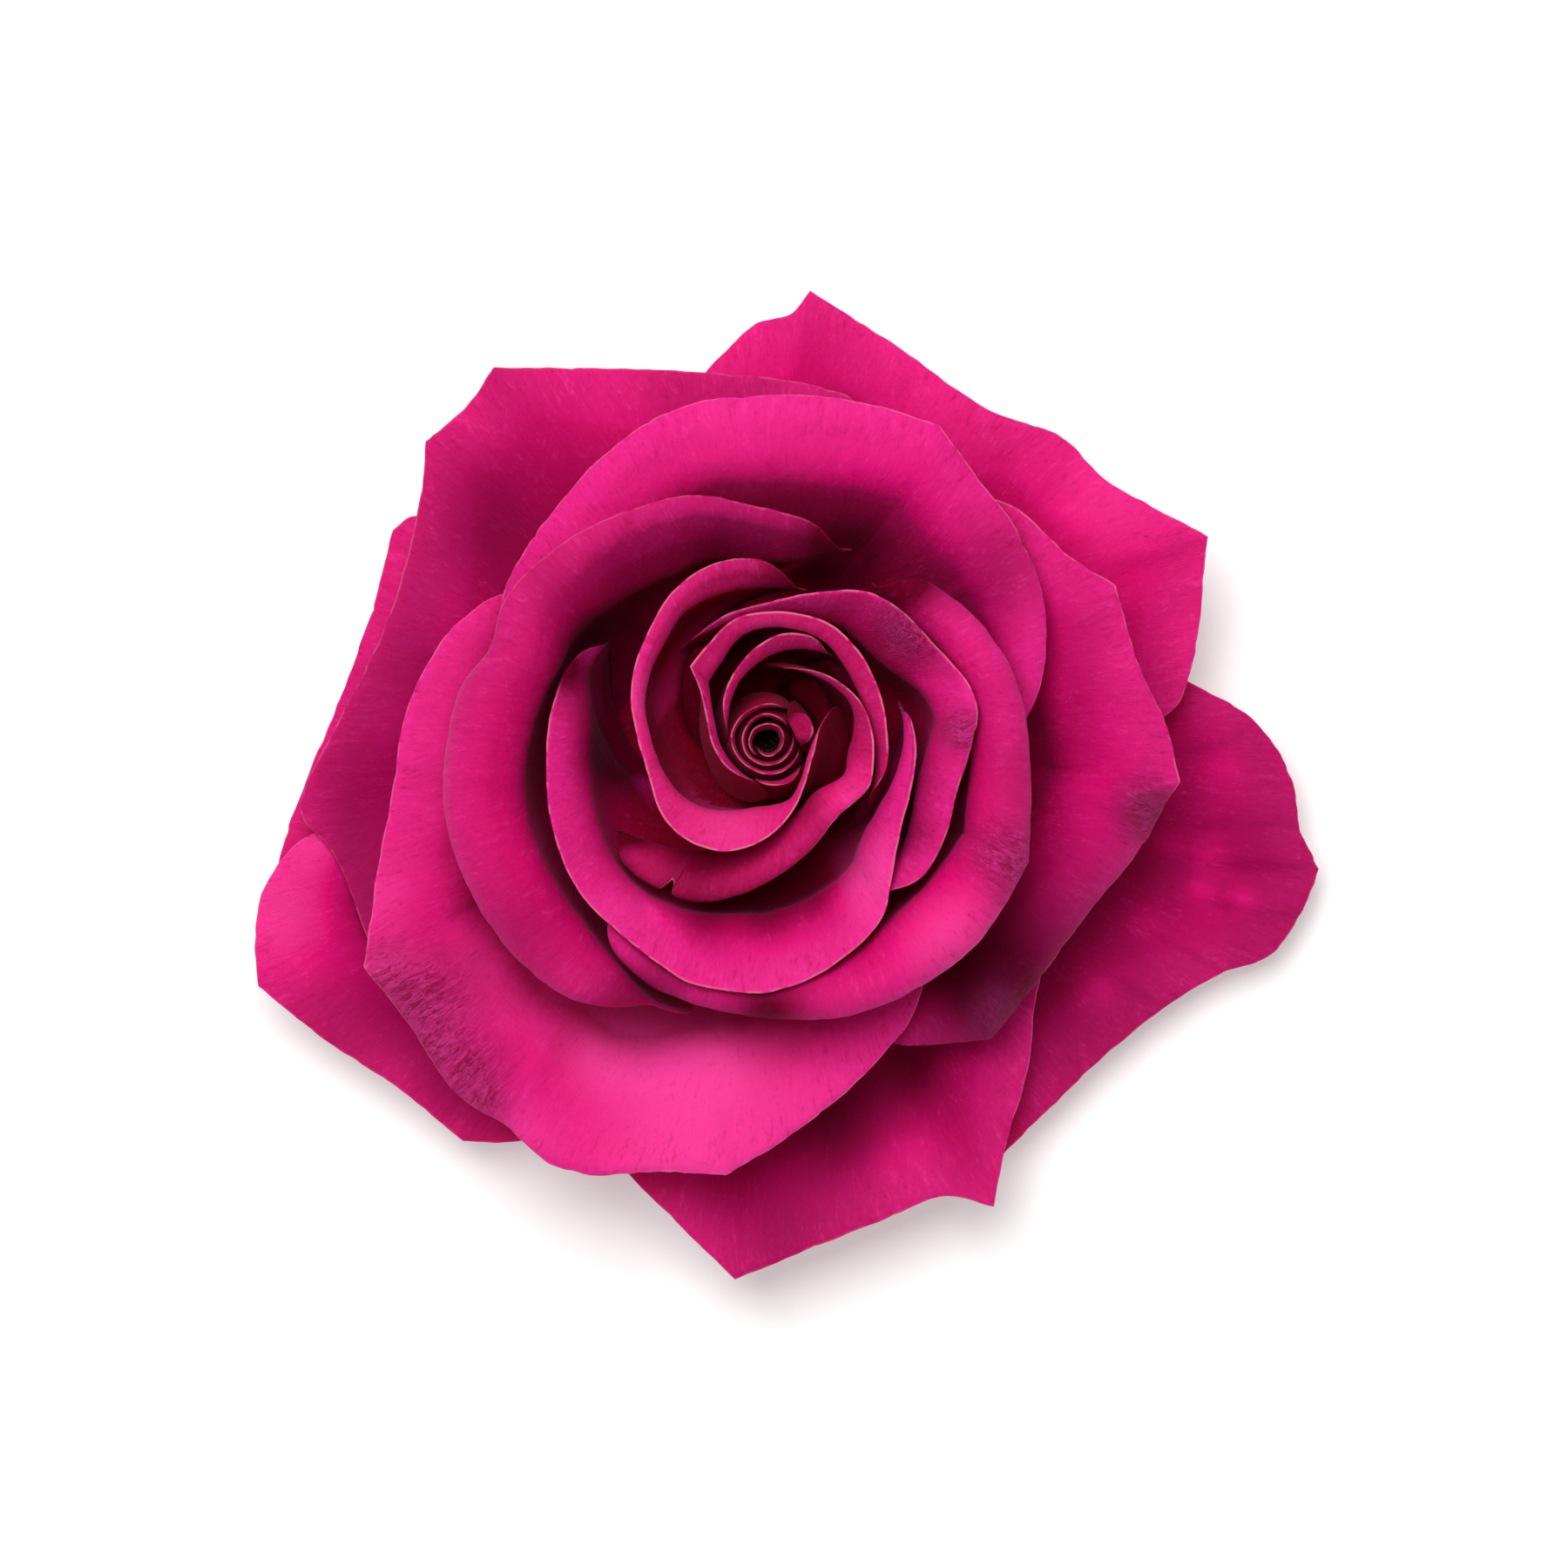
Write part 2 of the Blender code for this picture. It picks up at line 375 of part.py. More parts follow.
def add_hip():
    """The dome that the petals stand on, the hip below it and a short cut stub, grown as one piece."""
    places = [(0.0, HIP_TOP), (DOME_INNER, HIP_TOP)]
    places += [tuple(dome(step / 5)) for step in range(1, 6)]
    neck = HIP_TOP - DOME_RISE
    places += [
        (DOME_OUTER, neck - COLLAR_HEIGHT), (HIP_RADIUS, neck - 4.0), (HIP_RADIUS + 0.2, neck - 5.6),
        (HIP_RADIUS - 0.6, neck - 7.8), (STUB_RADIUS + 0.8, neck - 9.4), (STUB_RADIUS, neck - 10.8),
        (STUB_RADIUS, 0.0), (0.0, 0.0),
    ]
    add_turned("hip", places, (0.10, 0.20, 0.035))


def add_styles():
    """The bundle of styles in the middle of the stamens, with its rounded stigmas."""
    neck = STYLE_RADIUS * 0.8
    head = STYLE_RADIUS * 1.2
    outline = [
        (0.0, STYLE_HEIGHT), (head * 0.8, STYLE_HEIGHT - 0.3), (head, STYLE_HEIGHT - 0.9),
        (neck, STYLE_HEIGHT - 1.6), (STYLE_RADIUS, 0.4), (STYLE_RADIUS, 0.0), (0.0, 0.0),
    ]
    add_turned("styles", outline, (0.55, 0.42, 0.12), HIP_TOP + SURFACE_GAP)


def add_stamens():
    """The ring of stamens as one lobed cup round the styles, a lobe for each bundle."""
    ring = bmesh.new()
    sides = STAMEN_LOBES * 2
    inner = STYLE_RADIUS * 1.2 + 0.5
    levels = (
        (inner, STAMEN_HEIGHT * 0.75), (inner, 0.0), (STAMEN_RADIUS * 0.72, 0.0),
        (STAMEN_RADIUS * 0.8, STAMEN_HEIGHT * 0.7), (STAMEN_RADIUS, STAMEN_HEIGHT),
        (STAMEN_RADIUS * 0.82, STAMEN_HEIGHT * 1.06),
    )
    bmesh.ops.create_grid(ring, x_segments=sides, y_segments=len(levels), size=0.5)
    for vertex in ring.verts:
        turn = round((vertex.co.x + 0.5) * sides)
        radius, height = levels[round((vertex.co.y + 0.5) * len(levels)) % len(levels)]
        lobe = 1.0 - 0.12 * (turn % 2) * height / STAMEN_HEIGHT
        angle = math.tau * turn / sides
        height += HIP_TOP + SURFACE_GAP
        vertex.co = (radius * lobe * math.cos(angle) * MM, radius * lobe * math.sin(angle) * MM, height * MM)
    bmesh.ops.remove_doubles(ring, verts=ring.verts, dist=0.00001)
    bmesh.ops.recalc_face_normals(ring, faces=ring.faces)
    mesh = bpy.data.meshes.new("stamens")
    ring.to_mesh(mesh)
    ring.free()
    add_object("stamens", mesh, (0.62, 0.40, 0.06))


def add_sepal(number, length):
    """A pointed sepal, turned out from under the petals and down until its tip rests on the surface."""
    azimuth = math.radians(SEPAL_TURN + SEPAL_SPACING * number)
    seat = DOME_OUTER + SURFACE_GAP
    leaf = bmesh.new()
    columns = 4
    bmesh.ops.create_grid(leaf, x_segments=columns, y_segments=SEPAL_ROWS, size=0.5)
    for vertex in leaf.verts:
        share = vertex.co.y + 0.5
        side = vertex.co.x * 2
        half = SEPAL_WIDTH / 2 * (1.0 - share) ** 0.62 * (0.72 + 0.9 * share) + 0.25
        out = seat + length * share * (1.0 - 0.12 * share)
        drop = (SEPAL_SEAT - SEPAL_THICKNESS / 2) * share**1.9
        height = SEPAL_SEAT - drop + 0.5 * side * side * (1.0 - share)
        angle = azimuth + side * min(half / out, 0.52)
        vertex.co = (out * math.cos(angle) * MM, out * math.sin(angle) * MM, height * MM)
    mesh = bpy.data.meshes.new(f"sepal_{number + 1}")
    leaf.to_mesh(mesh)
    leaf.free()
    solidify(add_object(f"sepal_{number + 1}", mesh, (0.13, 0.25, 0.05)), SEPAL_THICKNESS)


def main():
    for old in list(bpy.data.objects):
        bpy.data.objects.remove(old)
    flower = bpy.data.collections.new("rose")
    bpy.context.scene.collection.children.link(flower)
    add_hip()
    add_styles()
    add_stamens()
    for number, length in enumerate(SEPAL_LENGTHS):
        add_sepal(number, length)
    for petal in PETALS:
        add_petal(*petal)


main()
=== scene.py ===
"""Rose: the finish of a cut rose head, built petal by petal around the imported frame.

Run as a script, it dresses every node of the frame: each petal becomes a thin, veined, velvety blade with
a soft lip, the sepals get lobes and glandular hairs, and the stamens and styles become separate threads.
"""

import math
from dataclasses import dataclass

import bpy
import numpy as np
from bpy.props import FloatProperty, FloatVectorProperty, IntProperty, PointerProperty, StringProperty
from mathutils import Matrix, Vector


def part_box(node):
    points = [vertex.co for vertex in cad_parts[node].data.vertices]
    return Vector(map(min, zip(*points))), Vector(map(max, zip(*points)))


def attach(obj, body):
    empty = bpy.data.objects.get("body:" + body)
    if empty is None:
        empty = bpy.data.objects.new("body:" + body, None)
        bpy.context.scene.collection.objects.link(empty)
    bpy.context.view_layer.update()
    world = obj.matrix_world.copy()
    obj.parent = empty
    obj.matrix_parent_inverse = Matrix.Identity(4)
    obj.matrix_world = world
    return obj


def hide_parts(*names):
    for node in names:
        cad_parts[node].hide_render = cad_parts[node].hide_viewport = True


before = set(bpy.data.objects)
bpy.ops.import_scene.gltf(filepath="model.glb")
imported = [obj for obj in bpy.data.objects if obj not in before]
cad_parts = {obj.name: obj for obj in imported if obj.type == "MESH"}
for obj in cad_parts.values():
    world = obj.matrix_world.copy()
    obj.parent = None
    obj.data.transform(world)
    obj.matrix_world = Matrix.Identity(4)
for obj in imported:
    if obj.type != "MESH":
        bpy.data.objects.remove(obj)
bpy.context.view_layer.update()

bl_info = {
    "name": "Rose",
    "version": (1, 0, 0),
    "blender": (4, 5, 0),
    "location": "View3D > Sidebar > Rose",
    "description": "Dresses a cut rose head with veined petals, downy sepals, stamens and styles",
    "category": "Add Mesh",
}

MM = 0.001

# Where the flower stands, from the frame, in millimetres.
HIP_LOW, HIP_HIGH = (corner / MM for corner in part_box("hip"))
AXIS_X, AXIS_Y = (HIP_LOW.x + HIP_HIGH.x) / 2, (HIP_LOW.y + HIP_HIGH.y) / 2
HIP_TOP = HIP_HIGH.z
DOME_OUTER = (HIP_HIGH.x - HIP_LOW.x) / 2
DOME_RISE = 6.4
DOME_INNER = 2.0
COLLAR_HEIGHT = 3.0
FOOT_RISE = 0.1  # of a petal's foot above the dome

# How much a petal of a wider cup also leans out, as in the frame's petals.
RISE_OPENING = 1.75
WALL_OPENING = 0.55
REACH_OPENING = 0.0075


@dataclass
class Form:
    """How a petal rises from the hip to its margin: angles in degrees from level, lengths in millimetres."""

    layer: str  # whose colour it has
    foot_width: float
    rise: float
    reach: float
    wall: float
    stand: float
    opening: float
    lean: float
    roll: float
    bend: float
    curl: float
    side_reach: float  # how far up its length a petal's side reaches, as a share
    side_span: float  # how much of the rim a rounded side takes, in rim points
    waviness: float  # of the margin, millimetres
    # The line along the margin is a painted highlight, where the thin edge catches the light.
    margin: float  # how pale the line along the margin is, from 0 to 1
    # Painted shade: how dark a petal gets towards its sides, where its ends sink into its neighbours' shadow.
    side_shade: float  # how dark a petal gets towards its sides
    rows: tuple  # rows of faces in the wall, the bend, the flare and the curl


UPRIGHT = dict(rise=60, reach=0.35, wall=103, stand=0.41, opening=1, side_span=2)
OPEN = dict(
    reach=0.42, stand=0.3, opening=0, curl=2.2, side_reach=0.74, side_span=0.6, margin=0.3, side_shade=0,
    rows=(22, 4, 16, 10))
FORMS = {
    "BUD": Form(
        "centre", 2.6, lean=80, roll=70, bend=0.8, curl=0.4, side_reach=0.72,
        waviness=0.03, margin=0.6, side_shade=0.9, rows=(18, 4, 2, 4), **{**UPRIGHT, "side_span": 1.6}),
    "HEART": Form(
        "centre", 4.0, lean=44, roll=25, bend=3.6, curl=0.7, side_reach=0.72,
        waviness=0.08, margin=0.9, side_shade=0.9, rows=(22, 7, 4, 6), **UPRIGHT),
    "INNER": Form(
        "inner", 5.4, lean=36, roll=8, bend=7, curl=1, side_reach=0.72,
        waviness=0.12, margin=0.7, side_shade=0.9, rows=(24, 8, 6, 7), **UPRIGHT),
    "CUP": Form(
        "inner", 6.8, lean=26, roll=-80, bend=6, curl=2.8, side_reach=0.66,
        waviness=0.16, margin=0.25, side_shade=0.4, rows=(22, 9, 6, 14), **UPRIGHT),
    "SECOND": Form(
        "outer", 7.2, rise=12, reach=0.52, wall=68, stand=0.36, opening=0,
        lean=14, roll=-22, bend=6, curl=2.2, side_reach=0.7, side_span=2,
        waviness=0.25, margin=0.5, side_shade=0, rows=(20, 10, 10, 12)),
    "GUARD": Form(
        "outer", 7.6, rise=8, wall=18, lean=8, roll=-14, bend=8, waviness=0.2, **OPEN),
    "DROOPING": Form(
        "outer", 7.6, rise=-2, wall=-4, lean=-6, roll=-24, bend=12, waviness=0.28, **OPEN),
}


@dataclass
class Petal:
    """Where a petal stands and where it departs from its form: millimetres, in plan from the axis."""

    name: str
    form: str
    place: float  # on the hip's dome, from 0 (innermost) to 1 (outermost)
    rim: tuple  # anticlockwise seen from above: x, y, height of the crest, width of the flare
    # Painted shade and painted light over the whole petal, for how it faces the light and what shades it;
    # partly its own colour.
    tone: float = 0.0  # lighter or darker than its form
    corners: tuple = ()  # which rim points are corners
    bellies: tuple = (0, 0)  # how far the belly swells further at the rim's first and last point
    sides: tuple = ()  # rim points that the two rounded sides take, where they aren't its form's
    shape: tuple = ((0, 1), (0, 0), (0, 0), (0, 0))  # at rim points: steeper lean, further roll, larger roll
    nicks: tuple = ()  # in the margin: rim point, depth, half width
    creases: tuple = ()  # folds: from a point, to a point, height, width on the left, width on the right
    # Wrinkled places: a bumpy relief, and a dark dull colour that is painted shade of their folds.
    wrinkles_and_shade: tuple = ()  # wrinkled places: x, y, size
    # Patches: mostly painted shade where shadows and recesses fall, and painted highlights where light
    # catches; a few are pale blotches of its own colour.
    patches: tuple = ()  # lighter or darker places: x, y, size, strength


PETALS = (
    Petal("bud_petal_1", "BUD", 0.01, tone=-0.5, rim=(
        (-1.4, -0.2, 33.6, 0.1), (-1.1, -1.2, 35.6, 0.15), (0.1, -1.7, 36.6, 0.2), (1.2, -1.1, 37, 0.2),
        (1.7, 0.2, 37.3, 0.3), (1.2, 1.4, 37.6, 0.4), (-0.2, 1.8, 37.6, 0.5), (-1.6, 1.2, 37.4, 0.4),
        (-2.1, -0.2, 37.2, 0.2), (-1.6, -1.5, 36.6, 0.15), (-0.4, -2.1, 34.6, 0.1))),
    Petal("bud_petal_2", "BUD", 0.07, tone=-0.4, rim=(
        (2.2, 0.6, 33, 0.1), (2, 1.8, 36, 0.15), (0.9, 2.6, 37.4, 0.2), (-0.6, 2.8, 37.9, 0.2),
        (-2, 2, 38, 0.2), (-2.8, 0.2, 38, 0.2), (-2.2, -1.8, 38, 0.2), (-0.4, -2.7, 37.8, 0.2),
        (1.2, -2.4, 37.4, 0.2), (2.3, -1.4, 36.6, 0.15), (2.8, 0, 34.6, 0.1), (2.7, 1.4, 31.6, 0.1))),
    Petal("bud_petal_3", "BUD", 0.15, tone=-0.3, bellies=(0, -0.4), rim=(
        (2.6, 3.2, 33, 0.1), (1.4, 3.8, 36.4, 0.2), (-0.2, 3.9, 37.8, 0.2), (-1.8, 3.4, 38.4, 0.3),
        (-3.2, 2.3, 38.6, 0.3), (-4, 0.6, 38.8, 0.2), (-3.5, -1.5, 38.6, 0.2), (-2.2, -2.9, 38.4, 0.2),
        (-0.7, -3.6, 38.2, 0.2), (1, -3.6, 37.8, 0.2), (2.4, -2.8, 36.8, 0.15), (3.3, -1.6, 34.8, 0.1),
        (3.5, -0.2, 32, 0.1))),
    Petal("bud_petal_4", "BUD", 0.11, tone=-0.6, rim=(
        (4.2, -1.5, 36, 0.4), (4.8, 0.1, 38.6, 1.5), (4.7, 1.8, 39.2, 2), (3.7, 3.2, 39, 1.8),
        (2.2, 3.8, 36.4, 0.6)), shape=(
        (0, 1, 3, 4), (-20, -46, -46, -20), (-30, -60, -60, -30), (0, 0.2, 0.2, 0))),
    Petal("bud_petal_5", "BUD", 0.22, tone=-0.2, bellies=(0.3, 0), rim=(
        (-2.4, -4, 33.6, 0.1), (-1, -4.6, 37.4, 0.2), (0.6, -4.9, 38.6, 0.3), (2.2, -4.6, 38.8, 0.4),
        (3.3, -3.6, 37.4, 0.3), (4, -2.4, 34, 0.1))),
    Petal("heart_petal_top", "HEART", 0.27, tone=-0.15, bellies=(0, -0.2), rim=(
        (8.2, 8.8, 34.4, 0.3), (6.7, 10.1, 37.4, 0.7), (4.5, 11.3, 39.8, 1.3), (1.9, 11.6, 40.8, 1.7),
        (-0.8, 10.4, 41.4, 1.5), (-3.3, 7.9, 41, 1), (-4.7, 5, 40.4, 0.8), (-5.1, 2, 38.8, 0.6),
        (-4.6, -0.8, 37, 0.5))),
    Petal("heart_petal_left", "HEART", 0.42, bellies=(0.2, -0.5), rim=(
        (5.4, 17.2, 35.4, 1), (2.2, 18.7, 38.4, 2), (-1.6, 19.7, 40.6, 3), (-6.2, 19, 42.4, 3.2),
        (-10.4, 16, 43.6, 2.4), (-12.9, 11.8, 44, 2), (-14.5, 7.6, 44, 1.6), (-14.8, 4, 44, 1.3),
        (-14.1, 0.2, 44, 1.2), (-13, -3.6, 43.6, 1.4), (-11, -8.8, 43, 3.2), (-8, -11.2, 43, 4.2),
        (-4.8, -12, 43, 4.6), (-1.8, -11.4, 42.8, 4), (0.8, -9.8, 42.4, 2.6), (2.8, -7.4, 41.6, 1),
        (4, -4.6, 40.8, 0.5), (4.8, -1.8, 40.2, 0.4), (6, 1.4, 39.6, 0.4), (7.4, 4.4, 38.6, 0.4)), shape=(
        (0, 4, 8, 9, 20), (10, 8, 6, 0, 0), (-60, -40, -30, 0, 0), (0.6, 0.6, 0.2, 0, 0)), patches=(
        (1.2, 18.6, 3.5, -0.7), (-6, 18.4, 4, -0.25), (-4, -9.5, 5, 0.6), (-14, 5, 3, 0.5))),
    Petal("heart_petal_notched", "HEART", 0.55, tone=-0.42, bellies=(0, -0.8), nicks=((3, 2.6, 0.5),), rim=(
        (-17.9, -9.8, 32, 1), (-16.9, -12, 34.4, 2.6), (-14.6, -14.5, 36.2, 4.2), (-11.2, -16.5, 37, 5.2),
        (-7.4, -17.5, 37.8, 6), (-3.6, -16.8, 38.8, 5.4), (0.4, -15, 40, 4.6), (4.3, -12.1, 41.2, 4),
        (7.6, -8.2, 42.2, 3.4), (11, -4.8, 42.6, 2.8), (11.4, -1.8, 42.6, 2.6), (11.2, 1.2, 42.2, 1.8),
        (10.2, 3.8, 41.2, 1), (7.6, 6.4, 39.6, 0.6), (3.4, 8.2, 38.2, 0.5), (-1.6, 8.6, 36.6, 0.4)), shape=(
        (0, 7, 10, 15), (4, 4, 0, 0), (-110, -90, -10, 0), (1.2, 1, 0, 0)), patches=(
        (-14, -9.5, 2.5, -0.6), (-14.2, -13.4, 2.6, 0.1), (-8, -13, 4, -0.4), (9, -6, 3.5, 0.7),
        (5, -7, 2.5, -0.3))),
    Petal("heart_petal_folded", "HEART", 0.35, tone=-0.22, corners=(11,), bellies=(1.2, 0), rim=(
        (10.9, -8, 39.6, 0.8), (12.2, -5.6, 40.2, 0.8), (12.9, -2.4, 40.8, 1.1), (12.9, 1, 41.8, 1.5),
        (12.1, 5, 42.4, 1.9), (10.2, 9, 42.8, 2), (6.9, 12.4, 43, 1.7), (2.6, 13.8, 43, 1.5),
        (-1, 13.8, 43.2, 1.5), (-3.4, 13.2, 43.5, 1.8), (-6.2, 10.7, 43.6, 2.2), (-8.4, 8, 43.8, 2.4),
        (-7.4, 5.6, 42.6, 1.2), (-6.8, 3, 41.6, 0.8), (-6.2, 0, 40.6, 0.7), (-5.1, -2.2, 39.6, 0.6),
        (-3.2, -4.1, 38.6, 0.5), (0.6, -5.8, 38, 0.4)), patches=(
        (0, 11, 3, 0.6), (-4, 8, 2, 0.3))),
    Petal("inner_petal_right", "INNER", 0.6, bellies=(0, -0.7), sides=(2, 2), rim=(
        (11.2, -20, 41, 2.4), (13.8, -17.4, 41.4, 2.8), (17.2, -14.2, 42.2, 3.4), (19.4, -9.8, 43.2, 4),
        (20.4, -5.6, 44.2, 4.2), (22, -0.6, 45, 4.4), (22.6, 3.2, 45, 4.6), (21.6, 6.2, 44.6, 4.8),
        (20, 8.2, 44.2, 5), (17.2, 11.2, 44.4, 5.4), (14.2, 14.2, 44.2, 5.4), (11.2, 15.9, 43.8, 4.6),
        (6, 16, 43.2, 2.8), (-0.2, 14.9, 41.6, 1.2), (-4, 13.8, 39.6, 0.7), (-8, 11.8, 36.6, 0.5),
        (-10.6, 9.4, 33.6, 0.4)), shape=(
        (0, 6, 8, 11, 16), (0, 4, 20, 22, 20), (-20, -20, 20, 20, 10), (0.5, 0.6, 0, 0, 0)), wrinkles_and_shade=(
        (15.4, 12.2, 2.6), (21.6, 1, 1.8)), patches=(
        (14, 10, 5, -0.15), (6, 12.5, 4, -0.4), (0, 13, 4, -0.4), (16.6, -4, 3, -0.45), (17.5, 1, 3, -0.25),
        (16, -10, 2.5, -0.5))),
    Petal("inner_petal_bowl", "INNER", 0.68, bellies=(-0.4, 0), sides=(1.4, 1.2), rim=(
        (-17.8, 11.8, 31, 0.8), (-20, 10, 35, 1.4), (-21.7, 8, 38.2, 2.2), (-22.8, 5.6, 40.8, 3.4),
        (-23.7, 2.2, 42.6, 4.4), (-24, -3, 43.4, 4.8), (-23.4, -9.2, 43.4, 4.8), (-20.2, -16.8, 42.8, 4.8),
        (-16.4, -20.6, 42.6, 4.8), (-12.4, -23.8, 42.4, 6), (-8.6, -26.2, 42.2, 7.6), (-4.6, -27.1, 42, 8.2),
        (-0.8, -27.4, 42, 8.4), (3.2, -26.4, 42, 8.2), (8.4, -23.4, 42.2, 7.4), (12.5, -18.8, 42.4, 6.2),
        (13.3, -15, 42.6, 5), (14.4, -9.4, 42.6, 3), (15.6, -4.6, 42.6, 1.8), (16, -0.4, 41.6, 1.2),
        (15.4, 2.6, 39.6, 0.7), (14.4, 5, 36.4, 0.6)), creases=(
        ((-12.4, -18.6), (-3.6, -28), 0.9, 2.6, 0.35),), patches=(
        (-14, 3, 6, -1.3), (-17, -2, 3.5, -1), (-22.6, 8, 3.2, -1), (-16, -19, 4, 0.2), (2, -25, 7, 0.3),
        (11.5, -15, 4.5, 0.9), (-7, -19, 3.2, -0.7), (0, -19.2, 3.5, -0.8), (5.5, -17, 3.2, -0.7))),
    Petal("cup_petal_right", "CUP", 0.75, tone=-0.18, corners=(10,), sides=(2, 2), rim=(
        (-20.2, -17.2, 40, 2.6), (-18.2, -20.8, 40.2, 3), (-15.6, -24.2, 40.2, 3.4), (-12.5, -26.7, 40.2, 4),
        (-6, -29.2, 40.4, 4.6), (1.4, -30.3, 41.2, 5), (9, -29.8, 42, 5.8), (16.4, -26.7, 43, 7.6),
        (22, -22.7, 43.8, 8.2), (26.2, -16.8, 44.2, 7.8), (28.2, -13.2, 44.4, 7.4), (28.5, -5, 44.6, 6.6),
        (28.1, 1.2, 44.6, 5.8), (26.6, 7, 44.4, 5.2), (23.4, 12.2, 43.8, 5.2), (19.4, 16, 42.6, 5),
        (15.8, 18.3, 40.4, 4), (12.2, 19.8, 37, 2.6)), shape=(
        (0, 5, 8, 17), (0, 0, 0, 10), (0, -10, 0, 0), (1, 1.2, 1.2, 0.6)), wrinkles_and_shade=(
        (26, -13, 3),), patches=(
        (0, -29.5, 4.5, -0.8), (-12, -27, 4.5, -0.5), (14.2, 17.8, 4.5, -1.2), (20, -22, 6, 0.7),
        (27, -3, 5, -0.2))),
    Petal("cup_petal_left", "CUP", 0.82, tone=-0.24, sides=(2, 3.5), rim=(
        (10.8, 22, 35.6, 1.2), (7.4, 23, 39, 2.8), (3.4, 24.2, 41.4, 4.6), (-2, 25.5, 41.8, 6),
        (-8, 26.5, 43.2, 7), (-14.6, 25, 44, 8), (-22, 21.5, 44.6, 8.6), (-28.2, 15.6, 44.8, 8.4),
        (-30.6, 9.2, 44.8, 7.6), (-32.8, 6.7, 45, 8.6), (-34.6, 0.8, 45, 8.8), (-35.2, -5, 44.8, 8.8),
        (-34.2, -12, 44.2, 8.8), (-31, -18.8, 43.4, 8.4), (-25.6, -25.2, 42.2, 7.6), (-18.8, -29.8, 41, 5.4),
        (-13.4, -31.8, 40, 3.2), (-6.6, -33, 39, 2)), shape=(
        (0, 3, 5, 8, 10, 17), (34, 34, 32, 10, 0, 0), (90, 90, 75, 20, 0, 0), (0, 0, 0, 1, 1.5, 1)), patches=(
        (-16, -29.5, 4.5, -0.5), (-26, -22, 5, -0.25), (9, 22, 4.5, -0.9), (3, 22, 5, -0.4),
        (-6, 20.5, 4, -0.5), (-16, 18, 4, -0.4), (-25, 18, 5, -0.15), (-32, -2, 6, -0.1),
        (-17, 9, 5.5, -1.4))),
    Petal("second_petal_top", "SECOND", 0.88, corners=(6,), rim=(
        (28, -4.6, 34, 2.4), (28.8, 1.4, 35, 3), (30, 8, 36, 5), (29.9, 15.8, 37, 7), (27.6, 21.8, 38.2, 7.8),
        (23.4, 27.6, 39.2, 8.4), (18.6, 34.1, 40.4, 9.2), (10.4, 36.6, 41, 9.4), (0, 37.4, 41, 9.4),
        (-8.6, 36.4, 40.8, 9.2), (-16.6, 32, 40.2, 9), (-23.6, 24.6, 39.2, 8), (-28.2, 17.4, 38, 6.2),
        (-30.2, 12, 36.8, 4.4), (-30.6, 7, 35.6, 3)), shape=(
        (0, 6, 14), (4, 4, 4), (-10, 0, -10), (2, 2.5, 1.5)), creases=(
        ((-14, 35.2), (-8.5, 34.2), 0.25, 0.35, 0.35), ((18.6, 34.1), (14, 26), 0.6, 3, 1.4)), patches=(
        (9.5, 20.5, 4.5, -0.7), (7, 18.5, 4.5, -0.9), (25, 19, 7, -0.45), (-3, 35, 8, 0.15),
        (-27, 18, 6, -0.15))),
    Petal("second_petal_left", "SECOND", 0.9, tone=0.08, corners=(6, 13), rim=(
        (-28.4, 20.6, 27.4, 3.6), (-32.4, 15.8, 28.4, 4.6), (-36.4, 9.8, 29.2, 6.4), (-39.4, 3.6, 29.4, 7.8),
        (-41, -5, 29.4, 9.4), (-42.6, -13.6, 29.2, 11), (-44.2, -24.7, 28.8, 13.6),
        (-39.2, -31.4, 27.8, 13.8), (-33.6, -39.2, 27.4, 14.4), (-28.6, -42.2, 27.2, 15),
        (-24.4, -45.9, 27.4, 15.6), (-20, -47.4, 27.6, 16), (-12, -47.2, 28.2, 16.4),
        (-4.7, -47.4, 28.8, 16.8), (2.4, -43.2, 28.8, 14.6), (9.2, -37.8, 28.8, 11.2),
        (14.4, -32.2, 28.8, 7.6), (17.4, -28.4, 28.6, 5.6), (20.4, -24.6, 28.4, 4.2)), shape=(
        (0, 5, 6, 6.7, 8.6, 10, 13, 18), (0, 0, 0, 6, 6, 0, 0, 0), (0, 10, 20, -20, -20, -10, 0, 0),
        (0, 0, -1, 8, 8, 1, 0, 0)), creases=(
        ((-44.2, -24.7), (-31, -22.5), 1, 0.9, 7), ((-4.7, -47.4), (-8, -34), 0.7, 3, 1),
        ((-31, -40.5), (-22, -33), 0.6, 1, 5)), wrinkles_and_shade=(
        (-41.5, -26.5, 3.2), (-37.5, -29, 4.6), (-36, -33, 3.6), (-32.8, -36.2, 3.4),
        (-31.5, -38.5, 2.4)), patches=(
        (-41.5, -24.6, 2.6, 0.5), (-8, -41, 10, 0.8), (-43, -17, 4, 0.35), (-27, -43.5, 3, 0.3),
        (-18, -34, 4.5, 0.7), (-6, -35, 4.5, 0.5), (-31, -24, 4.5, 0.15), (-26, -29, 4.5, 0.2),
        (-13, -34.5, 4, 0.4))),
    Petal("second_petal_right", "SECOND", 0.91, tone=-0.16, corners=(2, 6, 10), sides=(1.4, 1.2), rim=(
        (9.6, -35.6, 23.6, 5), (15.8, -33.8, 24.6, 6.4), (24.5, -32.7, 25.6, 9), (30.4, -25.2, 26.4, 10.4),
        (36, -17.6, 27.8, 11.6), (41.4, -10.8, 29.4, 12.8), (44.9, -4.4, 30.8, 13.6), (43.4, 1.4, 31.8, 13),
        (40.7, 7.6, 32.8, 12), (39.1, 12.2, 33.2, 11.4), (37.8, 16.9, 33.6, 11), (33, 20, 33, 9.4),
        (27.6, 25, 32, 7.4), (20.8, 31.4, 31, 5.4)), shape=(
